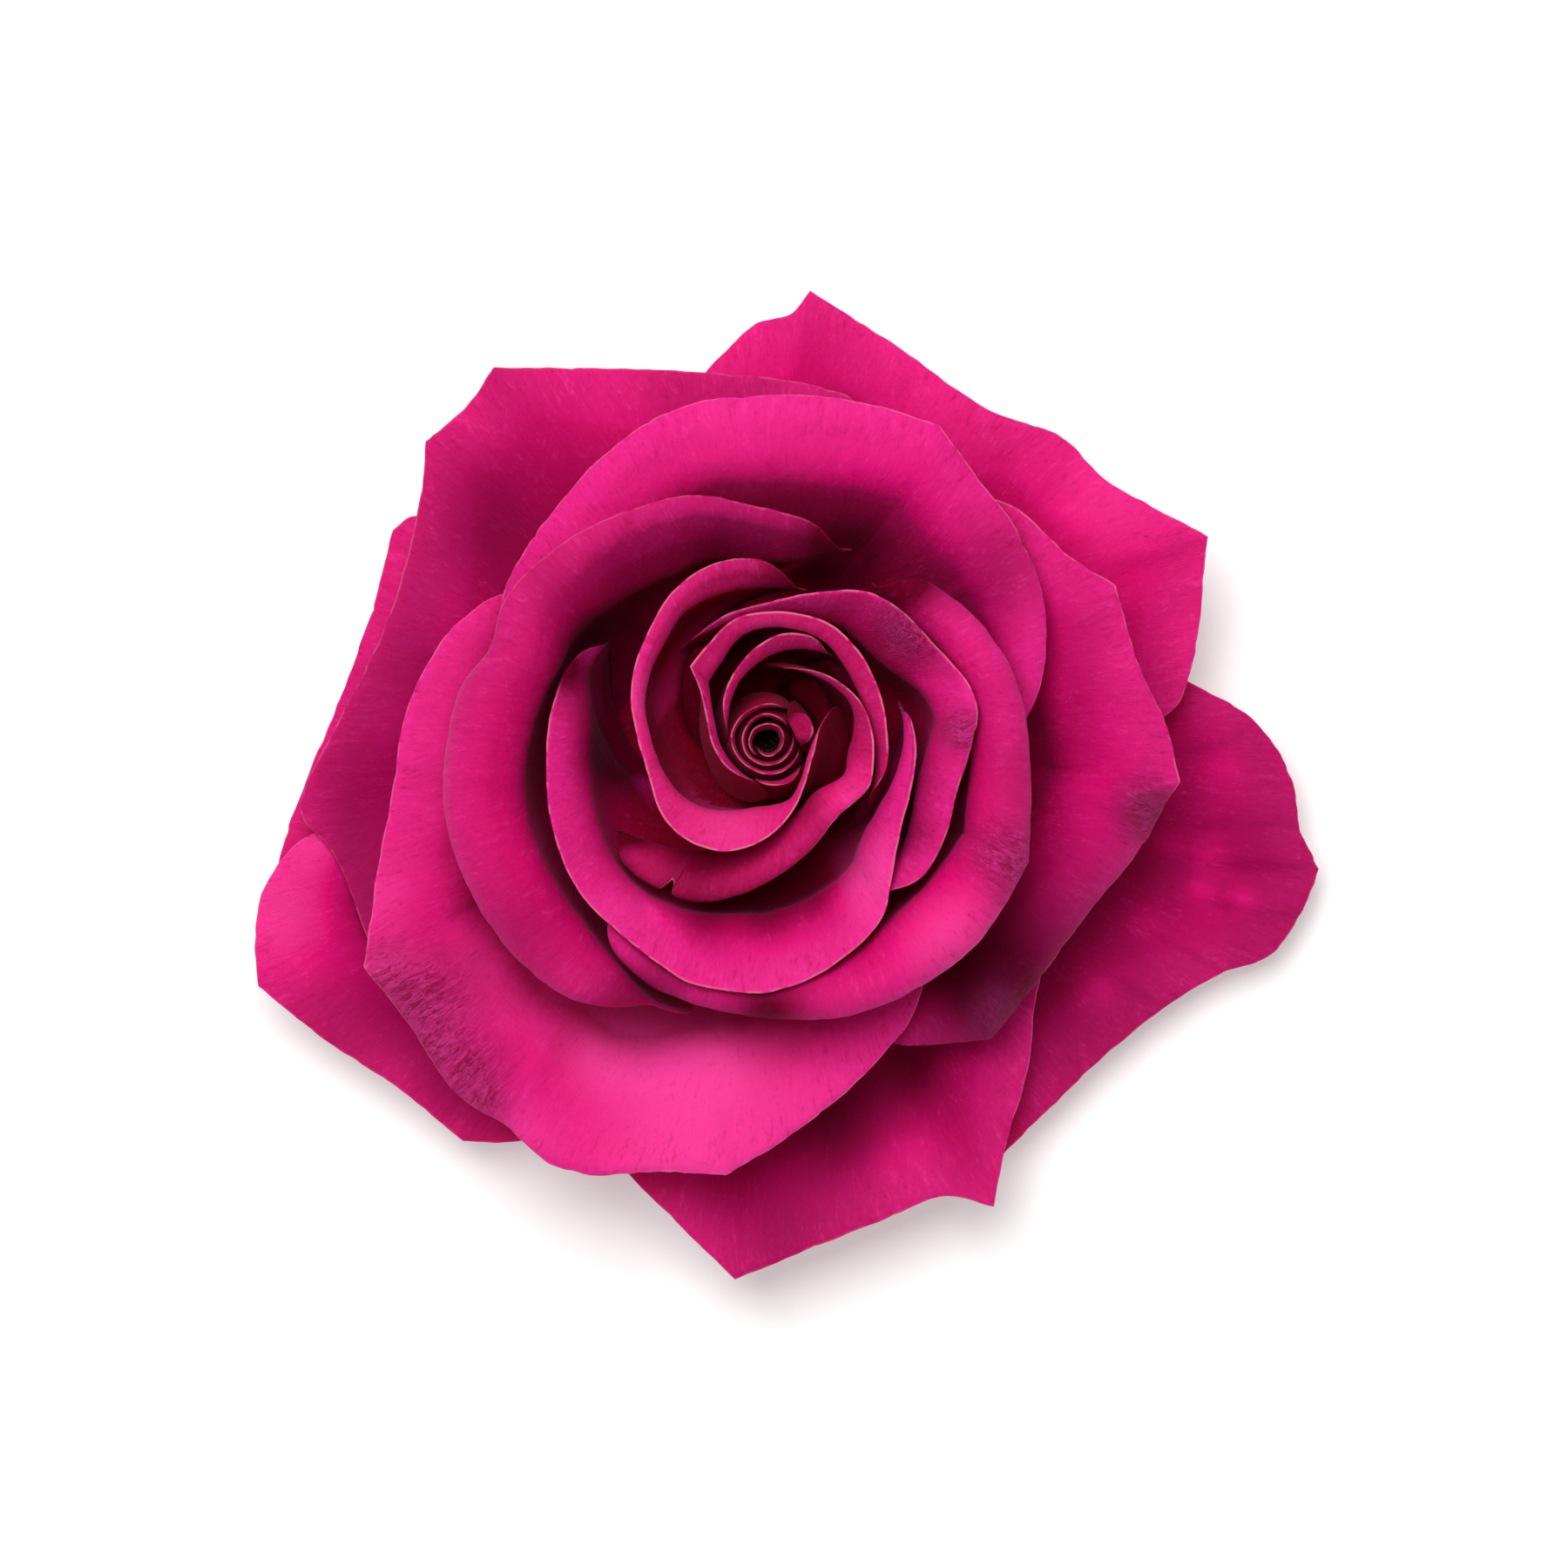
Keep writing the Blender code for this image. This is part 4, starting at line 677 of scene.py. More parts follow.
def petal_finish(name, body, foot_shade, back, settings):
    """Velvety petal skin: painted shade at the foot, paler to the lip, veined lengthwise, painted highlight
    at the margin.
    """
    finish, nodes, shader = new_finish(name)
    # A pale colour for the texture's light flecks and for painted highlights.
    pale = [min(1.0, c * 1.2 + 0.02) for c in settings.lip_color]
    blade, place = nodes.blade(), nodes.place()
    edge, side, tone, up, crinkle, margin = (
        nodes.attribute(key) for key in ("edge", "back", "tone", "up", "crinkle", "line"))
    drift = nodes.vector_math("SCALE", nodes.noise(blade, 16, 2, 0.5, output=1), 1.6, "Scale")
    warped = nodes.vector_math("ADD", nodes.vector_math("MULTIPLY", blade, (UV_SIZE,) * 3), drift)
    streaks = nodes.noise(warped, 1, 3, 0.6, scales=(1.3, 0.26, 1))
    fine = nodes.noise(warped, 1, 3, 0.65, scales=(3.2, 0.9, 1))
    mottle = nodes.noise(place, 190, 3, 0.5)
    velvet = nodes.noise(place, 900, 3, 0.65, 0.8)
    grain = nodes.noise(place, 3000, 2, 0.6)
    ridges = nodes.noise(warped, 1, 4, 0.7, 1.2, scales=(2.1, 0.6, 1))
    # Low on the petal and away from its margin the colour turns to painted shade, for the dark recesses its
    # foot stands in.
    color = nodes.mix(nodes.math("MAXIMUM", nodes.step(up, 0.3, 0.9), nodes.step(edge, 11, 6)), foot_shade, body)
    color = nodes.mix(nodes.step(edge, 9, 0.6) * 0.55, color, settings.lip_color)
    # Negative tone paints shade; positive tone paints highlights in the pale colour.
    color = nodes.mix(0.0 - tone, color, [c * k for c, k in zip(body, DARK_SHARE)])
    color = nodes.mix(tone, color, pale)
    # Wrinkled places turn dark dull purple: painted shade of their folds.
    color = nodes.mix(crinkle * 0.55, color, (0.31, 0.026, 0.14))
    color = nodes.mix(side * 0.75, color, back)
    shade = (streaks - 0.5) * (2.2 * settings.vein_strength) + (fine - 0.5) * (2.2 * settings.vein_strength)
    # Light and dark strokes along the wrinkles' ridges are painted shading of the ridges.
    shade = shade * (0.8 + nodes.step(edge, 7, 0.5) * 0.7) + (ridges - 0.5) * crinkle * 6.5
    shade = shade + (mottle - 0.5) * settings.mottle_strength + (velvet - 0.5) * 0.5 + (grain - 0.5) * 0.5
    light = nodes.step(shade, 0, 0.5) * (nodes.step(tone, -0.9, 0) * 0.42 + 0.08)
    color = nodes.mix(light, color, pale)
    color = nodes.mix(nodes.step(shade, 0, -0.6) * 0.7, color, foot_shade)
    broken = nodes.step(nodes.noise(warped, 1, 2, 0.6, scales=(0.5, 0.5, 1)), 0.38, 0.56)
    # A broken line of painted highlight along the margin.
    line = nodes.step(edge, settings.margin_highlight_width * 1.8, settings.margin_highlight_width * 0.4) * margin * broken
    color = nodes.mix(line, color, settings.margin_highlight_color)
    relief = streaks * 0.6 + fine * 0.5 + grain * 0.2 + velvet * 0.5 + mottle * 0.5 + ridges * crinkle * 26
    nodes.fill(shader, {
        "Base Color": color, "Roughness": 0.62 + (mottle - 0.5) * 0.25,
        "Normal": nodes.bump(relief, 0.0003, 0.6), "IOR": 1.22,
        "Specular IOR Level": 0.25, "Specular Tint": (1.0, 0.35, 0.65, 1.0),
        "Sheen Weight": settings.sheen, "Sheen Roughness": 0.35, "Sheen Tint": (1.0, 0.3, 0.62, 1.0),
        "Subsurface Weight": settings.glow, "Subsurface Radius": (1.0, 0.12, 0.3), "Subsurface Scale": 0.0012,
    })
    return finish


def petal_ring(ring, settings):
    """Every petal of one form, as a thin blade with a finish of its own."""
    form = FORMS[ring]
    body = getattr(settings, form.layer + "_color")
    # Painted shade for a petal's foot in the recesses; inner petals' backs, seen only down there, take it
    # too.
    foot_shade = [c * k for c, k in zip(body, FOOT_SHADE_SHARE)]
    back = settings.back_color if form.layer == "outer" else foot_shade
    thin, thick = settings.margin_thickness / MM, settings.thickness / MM
    for number, petal in enumerate(PETALS):
        if petal.form != ring:
            continue
        rim_size = max(math.hypot(x, y) for x, y, _, _ in petal.rim)
        spacing = settings.grain * min(1.0, 0.35 + rim_size / 40)
        points, distance, from_side, rng = petal_blade(petal, form, number + PETAL_SEED, spacing)
        points = ripple(points, form, rng)
        for fold in petal.creases:
            points = crease(points, *fold)
        up, across = distances(points, 0), distances(points, 1)
        to_side = np.minimum(across, across[:, -1:] - across) + 60 * (1 - np.clip(up / 12, 0, 1))
        edge = np.minimum(up[-1:] - up, to_side)
        thickness = thin + (thick - thin) * (1 - np.exp(-edge / THICKENING))
        thickness = thickness + FOOT_EXTRA * np.exp(-up / FOOT_THICKENING)
        # Random variation of the petal's own colour, plus its painted shade and light, its painted side shade
        # and its patches.
        tone = petal.tone + 0.06 * waves(rng, points[..., 0], points[..., 1], *TONE_WAVES, 7)
        # Painted shade towards the sides, where the petal's ends sink into shadow.
        tone -= form.side_shade * bell(from_side, 0.45)
        full = up[-1].max()
        high = up > 0.2 * full
        crinkle, dark = np.zeros_like(up), np.zeros_like(up)
        # Patches paint shade and highlights; where they darken, the painted margin line fades.
        for x, y, size, strength in petal.patches:
            local = strength * patch(points, x, y, size) * high
            tone = tone + local
            dark = np.maximum(dark, -local)
        for x, y, size in petal.wrinkles_and_shade:
            crinkle = np.maximum(crinkle, patch(points, x, y, size) * high)
        uv = np.stack((distance + np.zeros_like(up), up), axis=-1) / UV_SIZE
        # Painted highlight along the margin, fading at the sides and under painted shade.
        line = form.margin * np.clip(from_side * 1.8 - 0.6, 0, 1) * np.clip(1.2 - 1.6 * dark, 0, 1)
        attributes = {"edge": edge, "up": up / full, "tone": tone, "line": line, "crinkle": crinkle}
        mesh = shell_mesh(petal.name + "_blade", points, thickness, uv, attributes)
        finish = petal_finish(petal.name + "_skin", body, foot_shade, back, settings)
        add_piece(petal.name + "_blade", mesh, finish, petal.name)


SEPAL_LENGTHS = (27.0, 25.0, 26.5, 24.0, 25.5)
SEPAL_LOBES = ((True, True), (True, True), (True, False), (False, False), (False, False))
SEPAL_TURN, SEPAL_SPACING = 18.0, 144.0  # degrees
SEPAL_WIDTH = 7.6
SEPAL_SEAT = 10.3  # height where it leaves the hip
SEPAL_GAP = 0.3
SEPAL_SOLID = 0.9  # thickness of the frame's sepal
SEPAL_ROWS, SEPAL_COLUMNS = 90, 32


def sepal_blade(number, rng):
    """A sepal's middle surface: pointed, turned down, keeled, and lobed on the sides that its age gives."""
    length = SEPAL_LENGTHS[number]
    azimuth = math.radians(SEPAL_TURN + SEPAL_SPACING * number)
    share = np.linspace(0, 1, SEPAL_ROWS + 1)[:, None]
    side = np.linspace(-1, 1, SEPAL_COLUMNS + 1)[None, :]
    half = SEPAL_WIDTH / 2 * (1 - share) ** 0.62 * (0.72 + 0.9 * share) + 0.12
    lobes = np.zeros_like(share * side)
    for sign, lobed in zip((-1, 1), SEPAL_LOBES[number]):
        for middle in (0.30, 0.46, 0.62) if lobed else ():
            lobes += bell(share - middle, 0.035) * rng.uniform(1, 1.9) * np.clip(sign * side, 0, 1) ** 4
    teeth = 0.1 * np.abs(side) ** 6 * np.sin(share * 260 + number) * (1 - share)
    out = DOME_OUTER + SEPAL_GAP + length * share * (1 - 0.12 * share)
    drop = (SEPAL_SEAT - SEPAL_SOLID / 2) * share**1.9
    curl = 0.5 * side**2 * (1 - share) + 0.25 * lobes
    height = SEPAL_SEAT - drop + curl + 0.12 * waves(rng, share * length, side * half, 9, 3)
    angle = azimuth + side * np.minimum((half + lobes + teeth) / out, 0.52)
    points = (AXIS_X + out * np.cos(angle), AXIS_Y + out * np.sin(angle), np.maximum(height, SEPAL_SOLID / 2))
    return np.stack(points, axis=-1), share, side


def sepal_finish(name, settings):
    """Matt green with pale down above, darker and glossier below, with a faint pink tinge towards the tip."""
    finish, nodes, shader = new_finish(name)
    blade, place = nodes.blade(), nodes.place()
    under, rib, up = (nodes.attribute(key) for key in ("back", "rib", "up"))
    veins = nodes.noise(blade, 1, 4, 0.6, 0.6, scales=(420, 60, 1))
    mottle = nodes.noise(place, 320, 4, 0.55)
    color = nodes.mix(under, settings.upper_color, settings.lower_color)
    color = nodes.mix(nodes.step(veins + (mottle - 0.5) * 0.6, 0.45, 0.72) * 0.45, color, settings.vein_color)
    color = nodes.mix(nodes.step(rib, 0.2, 0.9) * 0.5, color, settings.vein_color)
    color = nodes.mix(nodes.step(up + (mottle - 0.5) * 0.5, 0.75, 1.05) * 0.3, color, (0.22, 0.08, 0.05))
    nodes.fill(shader, {
        "Base Color": color, "Roughness": 0.62 + (mottle - 0.5) * 0.3 - under * 0.12,
        "Normal": nodes.bump(veins + mottle * 0.7, 0.0003), "Specular IOR Level": 0.35,
        "Sheen Weight": 0.35, "Sheen Roughness": 0.5, "Sheen Tint": (0.8, 0.95, 0.7, 1.0),
        "Subsurface Weight": 0.1, "Subsurface Radius": (0.3, 1.0, 0.15), "Subsurface Scale": 0.0006,
    })
    return finish


def plant_finish(name, stops, low, high, roughness, bump_size):
    """A growing thing's skin: colours in stops by height between two levels, broken up by noise."""
    finish, nodes, shader = new_finish(name)
    place = nodes.place()
    height = nodes.make("ShaderNodeSeparateXYZ", {}, {0: place}, output=2)
    mottle = nodes.noise(place, 420, 4, 0.6)
    fibre = nodes.noise(place, 1, 3, 0.6, scales=(900, 900, 90))
    color = nodes.ramp((height - low) / (high - low) + (mottle - 0.5) * 0.16, stops)
    color = nodes.mix((fibre - 0.35) * 0.7, color, nodes.mix(0.5, color, (0.02, 0.03, 0.01)))
    nodes.fill(shader, {
        "Base Color": color, "Roughness": roughness + (mottle - 0.5) * 0.25,
        "Normal": nodes.bump(mottle + fibre * 0.6, bump_size), "Specular IOR Level": 0.35,
        "Subsurface Weight": 0.08, "Subsurface Radius": (0.6, 0.8, 0.3), "Subsurface Scale": 0.0006,
    })
    return finish


def turned_mesh(name, outline, corners, spacing, columns, relief):
    """A closed turned body from its right-hand outline, top to bottom, with relief round its sides."""
    path = smooth_path(outline, corners, spacing)[0]
    radius, height = path[1:-1, 0][:, None], path[1:-1, 1][:, None]
    angle = np.linspace(0, math.tau, columns, endpoint=False)[None, :]
    radius = radius + relief(angle, radius, height)
    x, y = AXIS_X + radius * np.cos(angle), AXIS_Y + radius * np.sin(angle)
    grid = np.stack((x, y, height * np.ones_like(angle)), axis=-1)
    cell = np.arange(grid.size // 3).reshape(-1, columns)
    beside = np.roll(cell, -1, axis=1)
    faces = np.stack((cell[:-1], cell[1:], beside[1:], beside[:-1]), axis=-1).reshape(-1, 4).tolist()
    faces += [(cell.size, a, b) for a, b in zip(cell[0].tolist(), beside[0].tolist())]
    faces += [(cell.size + 1, b, a) for a, b in zip(cell[-1].tolist(), beside[-1].tolist())]
    poles = [(AXIS_X, AXIS_Y, path[0, 1]), (AXIS_X, AXIS_Y, path[-1, 1])]
    return new_mesh(name, np.concatenate((grid.reshape(-1, 3), poles)), faces)


STUB_RADIUS = 2.3
HIP_SPACING, HIP_COLUMNS = 0.22, 96  # of the hip's mesh: millimetres between its rows, and faces round it


def hip_relief(angle, radius, height):
    """Soft swellings under the sepals, and an uneven skin."""
    low = np.clip((HIP_TOP - DOME_RISE - COLLAR_HEIGHT - height) / 1.5, 0, 1)
    ribs = 0.16 * np.cos(len(SEPAL_LENGTHS) * (angle - math.radians(SEPAL_TURN)))
    ribs = ribs * low * np.clip(radius / 5, 0, 1)
    return ribs + 0.05 * np.sin(7 * angle + height * 1.3) * np.sin(3 * angle - height * 0.8) * low


def new_tree(name, inputs):
    """A Geometry Nodes group with named inputs, its writer, and its inputs' values by name."""
    group = bpy.data.node_groups.new(name, "GeometryNodeTree")
    for label, (kind, value) in inputs.items():
        socket = group.interface.new_socket(label, in_out="INPUT", socket_type="NodeSocket" + kind)
        if value is not None:
            socket.default_value = value
    group.interface.new_socket("Geometry", in_out="OUTPUT", socket_type="NodeSocketGeometry")
    nodes = Nodes(group)
    source = group.nodes.new("NodeGroupInput")
    return group, nodes, {socket.name: Value(nodes, socket) for socket in source.outputs if socket.name}


def end_tree(nodes, finish, points, instance, rotation, scale):
    """Copies on points made real, with their finish, as the group's result."""
    copies = nodes.make("GeometryNodeInstanceOnPoints", {}, {
        "Points": points, "Instance": instance, "Rotation": rotation, "Scale": scale})
    real = nodes.make("GeometryNodeRealizeInstances", {}, {0: copies})
    done = nodes.make("GeometryNodeSetMaterial", {}, {"Geometry": real, "Material": finish})
    nodes.fill(nodes.tree.nodes.new("NodeGroupOutput"), {0: done})


def grown_mesh(name, group, values, base=None):
    """The plain mesh that a Geometry Nodes group makes with these input values."""
    carrier = bpy.data.objects.new(name, base or bpy.data.meshes.new(name))
    bpy.context.scene.collection.objects.link(carrier)
    modifier = carrier.modifiers.new("growth", "NODES")
    modifier.node_group = group
    for item in group.interface.items_tree:
        if item.in_out == "INPUT" and item.name in values:
            modifier[item.identifier] = values[item.name]
    bpy.context.view_layer.update()
    mesh = bpy.data.meshes.new_from_object(carrier.evaluated_get(bpy.context.evaluated_depsgraph_get()))
    mesh.name = name
    bpy.data.objects.remove(carrier)
    mesh.shade_smooth()
    return mesh


GOLDEN_ANGLE = 137.508  # degrees


def thread_tree():
    """Threads that stand in a ring, each with a head: stamens with anthers, or styles with stigmas."""
    group, nodes, given = new_tree("ringed_threads", {
        "Count": ("Int", 60), "Inner Radius": ("Float", 0.001), "Outer Radius": ("Float", 0.002),
        "Height": ("Float", 0.004), "Lean": ("Float", 0.0005), "Thread Radius": ("Float", 0.0001),
        "Head": ("Vector", (0.0003, 0.0002, 0.0005)), "Centre": ("Vector", (0, 0, 0)), "Seed": ("Int", 1),
        "Material": ("Material", None)})
    index = nodes.make("GeometryNodeInputIndex", {}, {})
    turn = index * math.radians(GOLDEN_ANGLE)
    share = ((index + 0.5) / given["Count"]) ** 0.5
    radius = given["Inner Radius"] + (given["Outer Radius"] - given["Inner Radius"]) * share
    across = nodes.vector(nodes.math("COSINE", turn) * radius, nodes.math("SINE", turn) * radius)
    stand = nodes.vector_math("ADD", across, given["Centre"])
    points = nodes.make("GeometryNodePoints", {}, {"Count": given["Count"], "Position": stand})
    tip = nodes.vector(given["Lean"], 0.0, given["Height"])
    line = nodes.make("GeometryNodeCurveQuadraticBezier", {}, {
        "Resolution": 7, "Start": (0, 0, 0), "Middle": nodes.vector(z=given["Height"] * 0.6), "End": tip})
    ring = nodes.make("GeometryNodeCurvePrimitiveCircle", {}, {
        "Resolution": 6, "Radius": given["Thread Radius"]})
    thread = nodes.make("GeometryNodeCurveToMesh", {}, {
        "Curve": line, "Profile Curve": ring, "Fill Caps": True})
    ball = nodes.make("GeometryNodeMeshUVSphere", {}, {"Segments": 8, "Rings": 6, "Radius": 1.0})
    head = nodes.make("GeometryNodeTransform", {}, {
        "Geometry": ball, "Translation": tip, "Scale": given["Head"]})
    spread = nodes.random(-0.25, 0.25, given["Seed"])
    heading = nodes.vector(spread, spread * 0.6, turn + spread)
    size = nodes.random(0.78, 1.0, given["Seed"] + 7)
    end_tree(nodes, given["Material"], points, nodes.join(thread, head), heading, size)
    return group


def hair_tree():
    """Short hairs with round glands that stand on a surface wherever its down is marked."""
    group, nodes, given = new_tree("glandular_hairs", {
        "Geometry": ("Geometry", None), "Density": ("Float", 1000000.0), "Length": ("Float", 0.0006),
        "Radius": ("Float", 0.00004), "Gland Radius": ("Float", 0.00007), "Seed": ("Int", 3),
        "Material": ("Material", None)})
    marked = nodes.make("GeometryNodeInputNamedAttribute", {"data_type": "FLOAT"}, {"Name": "down"})
    points = nodes.make("GeometryNodeDistributePointsOnFaces", {}, {
        "Mesh": given["Geometry"], "Density": given["Density"] * marked, "Seed": given["Seed"]})
    stalk = nodes.make("GeometryNodeMeshCone", {}, {
        "Vertices": 5, "Side Segments": 2, "Radius Top": given["Radius"] * 0.4,
        "Radius Bottom": given["Radius"], "Depth": given["Length"]})
    ball = nodes.make("GeometryNodeMeshIcoSphere", {}, {"Radius": given["Gland Radius"], "Subdivisions": 1})
    gland = nodes.make("GeometryNodeTransform", {}, {
        "Geometry": ball, "Translation": nodes.vector(z=given["Length"])})
    turn = Value(nodes, points.socket.node.outputs["Rotation"])
    end_tree(nodes, given["Material"], points, nodes.join(stalk, gland), turn, nodes.random(0.5, 1.2, 5))
    return group


def size_of(name, description, millimetres):
    return FloatProperty(
        name=name, description=description, default=millimetres * MM, unit="LENGTH", precision=5)


def number_of(name, description, default, **more):
    return FloatProperty(name=name, description=description, default=default, **more)


def color_of(name, description, default):
    return FloatVectorProperty(name=name, description=description, default=default, subtype="COLOR")


class RosePetalSettings(bpy.types.PropertyGroup):
    grain: number_of("Grain", "Spacing of the mesh along a petal's rim, in millimetres", 0.5, min=0.3)
    thickness: size_of("Thickness", "Petal thickness away from the margin", 0.34)
    margin_thickness: size_of("Margin thickness", "Thickness at the margin", 0.16)
    # The pale line along the margin is a painted highlight of the thin, lit edge.
    margin_highlight_width: number_of("Margin line", "Width of the pale line along the margin, in millimetres", 0.1)
    centre_color: color_of("Centre", "Colour of the bud and heart petals", (0.60, 0.003, 0.085))
    inner_color: color_of("Inner", "Colour of the inner and cup petals", (0.64, 0.004, 0.155))
    outer_color: color_of("Outer", "Colour of the second and guard petals", (0.60, 0.004, 0.165))
    lip_color: color_of("Lip", "Colour towards the margin", (0.66, 0.023, 0.232))
    back_color: color_of("Back", "Colour of a petal's back", (0.55, 0.022, 0.165))
    # Colour of the painted highlight along the lit margin.
    margin_highlight_color: color_of("Margin", "Colour of the thin line at the margin", (0.72, 0.14, 0.24))
    vein_strength: number_of("Veins", "How strongly the veins show", 0.3, min=0.0)
    mottle_strength: number_of("Mottling", "How strongly the colour varies", 0.3, min=0.0)
    sheen: number_of("Sheen", "Velvet sheen", 0.045, min=0.0, max=1.0, subtype="FACTOR")
    glow: number_of("Glow", "How far light spreads in the petal", 0.4, min=0.0, max=1.0, subtype="FACTOR")


class RoseSepalSettings(bpy.types.PropertyGroup):
    thickness: size_of("Thickness", "Sepal thickness beside its rib", 0.5)
    upper_color: color_of("Upper", "Colour of the downy inner face", (0.24, 0.36, 0.13))
    lower_color: color_of("Lower", "Colour of the outer face", (0.09, 0.20, 0.03))
    vein_color: color_of("Veins", "Colour of the rib and veins", (0.34, 0.42, 0.14))
    hair_length: size_of("Hair length", "Length of the glandular hairs", 0.6)
    hair_density: number_of("Hair density", "Hairs on a square metre", 3.2e6)


class RoseCentreSettings(bpy.types.PropertyGroup):
    stamen_count: IntProperty(name="Stamens", description="Number of stamens", default=110, min=1)
    stamen_height: size_of("Stamen height", "Height of a stamen", 4.3)
    style_count: IntProperty(name="Styles", description="Number of styles", default=30, min=1)
    style_height: size_of("Style height", "Height of a style", 5.4)


class RoseStageSettings(bpy.types.PropertyGroup):
    view_width: size_of("View width", "Width of the view at the flower", 171)
    view_height: size_of("View height", "Height of the camera above the flower", 1500)
    key_power: number_of("Key", "Power of the high soft light", 12.4, unit="POWER")
    fill: number_of("Fill", "Strength of the light from all round", 0.4)
    floor_color: color_of("Floor", "Colour of the floor", (0.72, 0.72, 0.72))


class ROSE_OT_petals(bpy.types.Operator):
    """Add one ring of petals"""

    bl_idname = "rose.petals"
    bl_label = "Petals"
    ring: StringProperty(name="Ring", description="Form of the ring's petals", default="CUP")

    def execute(self, context):
        petal_ring(self.ring, context.scene.rose_petals)
        return {"FINISHED"}


class ROSE_OT_sepals(bpy.types.Operator):
    """Add the sepals and their glandular hairs"""

    bl_idname = "rose.sepals"
    bl_label = "Sepals"

    def execute(self, context):
        settings = context.scene.rose_sepals
        finish = sepal_finish("sepal_skin", settings)
        hair_colors = [(0.0, (0.30, 0.34, 0.12)), (1.0, (0.42, 0.16, 0.10))]
        hair_finish = plant_finish("gland_hairs", hair_colors, 0.0, 0.012, 0.45, 0.00005)
        hairs = hair_tree()
        for number in range(len(SEPAL_LENGTHS)):
            node = f"sepal_{number + 1}"
            points, share, side = sepal_blade(number, np.random.default_rng(number + SEPAL_SEED))
            grid = np.ones_like(share * side)
            edge = 1 - np.abs(side) * grid
            rib = bell(side, 0.16 + 0.5 * share) * (1 - 0.7 * share)
            thickness = (settings.thickness / MM) * (0.45 + 0.55 * np.clip(edge * 4, 0, 1)) + 0.45 * rib
            thickness = np.minimum(thickness, 2 * (points[..., 2] - 0.02))
            uv = np.stack((side * SEPAL_WIDTH / 200 * grid, share * 0.3 * grid), axis=-1)
            down = (0.15 + np.clip(1 - edge * 5, 0, 1)) * (share > 0.06) * (points[..., 2] > 1.4)
            mesh = shell_mesh(
                node + "_leaf", points, thickness, uv, {"rib": rib, "up": share * grid, "down": down})
            add_piece(node + "_leaf", mesh, finish, node)
            hair_mesh = grown_mesh(node + "_hairs", hairs, {
                "Density": settings.hair_density, "Length": settings.hair_length, "Seed": number,
                "Material": hair_finish}, mesh.copy())
            add_piece(node + "_hairs", hair_mesh, hair_finish, node)
        return {"FINISHED"}


class ROSE_OT_hip(bpy.types.Operator):
    """Add the hip with its dome and cut stub"""

    bl_idname = "rose.hip"
    bl_label = "Hip"

    def execute(self, context):
        neck, stub = HIP_TOP - DOME_RISE, STUB_RADIUS
        outline = [(0.0, HIP_TOP)]
        outline += [
            (DOME_INNER + (DOME_OUTER - DOME_INNER) * math.sin(a), HIP_TOP - DOME_RISE * (1 - math.cos(a)))
            for a in (math.radians(18 * step) for step in range(6))]
        outline += [
            (DOME_OUTER, neck - COLLAR_HEIGHT), (5.2, neck - 4), (5.4, neck - 5.6), (4.6, neck - 7.8),
            (stub + 0.8, neck - 9.4), (stub, neck - 10.8), (stub, 0.12), (stub - 0.14, 0.0), (0.0, 0.0)]
        corners = (1, 7, len(outline) - 3, len(outline) - 2)
        mesh = turned_mesh("hip_body", outline, corners, HIP_SPACING, HIP_COLUMNS, hip_relief)
        finish = plant_finish("hip_skin", [
            (0.0, (0.40, 0.42, 0.20)), (0.03, (0.20, 0.30, 0.09)), (0.25, (0.10, 0.21, 0.035)),
            (0.5, (0.13, 0.26, 0.05)), (0.6, (0.07, 0.02, 0.02)), (1.0, (0.08, 0.008, 0.015))],
            0.0, HIP_TOP * MM, 0.42, 0.0002)
        add_piece("hip_body", mesh, finish, "hip")
        return {"FINISHED"}


def add_threads(name, node, slot, stops, roughness, bump_size, millimetres, values):
    """Threads in place of the frame's node, with a skin of their own; their sizes are in millimetres."""
    low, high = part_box(node)
    finish = plant_finish(slot + "_skin", stops, low.z, high.z, roughness, bump_size)
    sizes = {
        key: tuple(part * MM for part in size) if isinstance(size, tuple) else size * MM
        for key, size in millimetres.items()}
    centre = (AXIS_X * MM, AXIS_Y * MM, low.z)
    mesh = grown_mesh(name, thread_tree(), {**sizes, **values, "Centre": centre, "Material": finish})
    add_piece(name, mesh, finish, node)


class ROSE_OT_stamens(bpy.types.Operator):
    """Add the ring of stamens"""

    bl_idname = "rose.stamens"
    bl_label = "Stamens"

    def execute(self, context):
        settings = context.scene.rose_centre
        stops = [(0.0, (0.62, 0.40, 0.24)), (0.6, (0.66, 0.30, 0.12)), (0.85, (0.24, 0.13, 0.03)),
                 (1.0, (0.18, 0.09, 0.02))]
        add_threads("stamens_ring", "stamens", "stamen", stops, 0.6, 0.00008, {
            "Inner Radius": 1.2, "Outer Radius": 1.85, "Lean": 0.1, "Thread Radius": 0.06,
            "Head": (0.17, 0.12, 0.33),
        }, {"Count": settings.stamen_count, "Height": settings.stamen_height, "Seed": 4})
        return {"FINISHED"}


class ROSE_OT_styles(bpy.types.Operator):
    """Add the bundle of styles"""

    bl_idname = "rose.styles"
    bl_label = "Styles"

    def execute(self, context):
        settings = context.scene.rose_centre
        stops = [(0.0, (0.50, 0.46, 0.20)), (0.8, (0.30, 0.08, 0.06)), (1.0, (0.26, 0.14, 0.06))]
        add_threads("styles_bundle", "styles", "style", stops, 0.5, 0.00006, {
            "Inner Radius": 0.0, "Outer Radius": 0.62, "Lean": 0.02, "Thread Radius": 0.07,
            "Head": (0.13, 0.13, 0.16),
        }, {"Count": settings.style_count, "Height": settings.style_height, "Seed": 9})
        return {"FINISHED"}


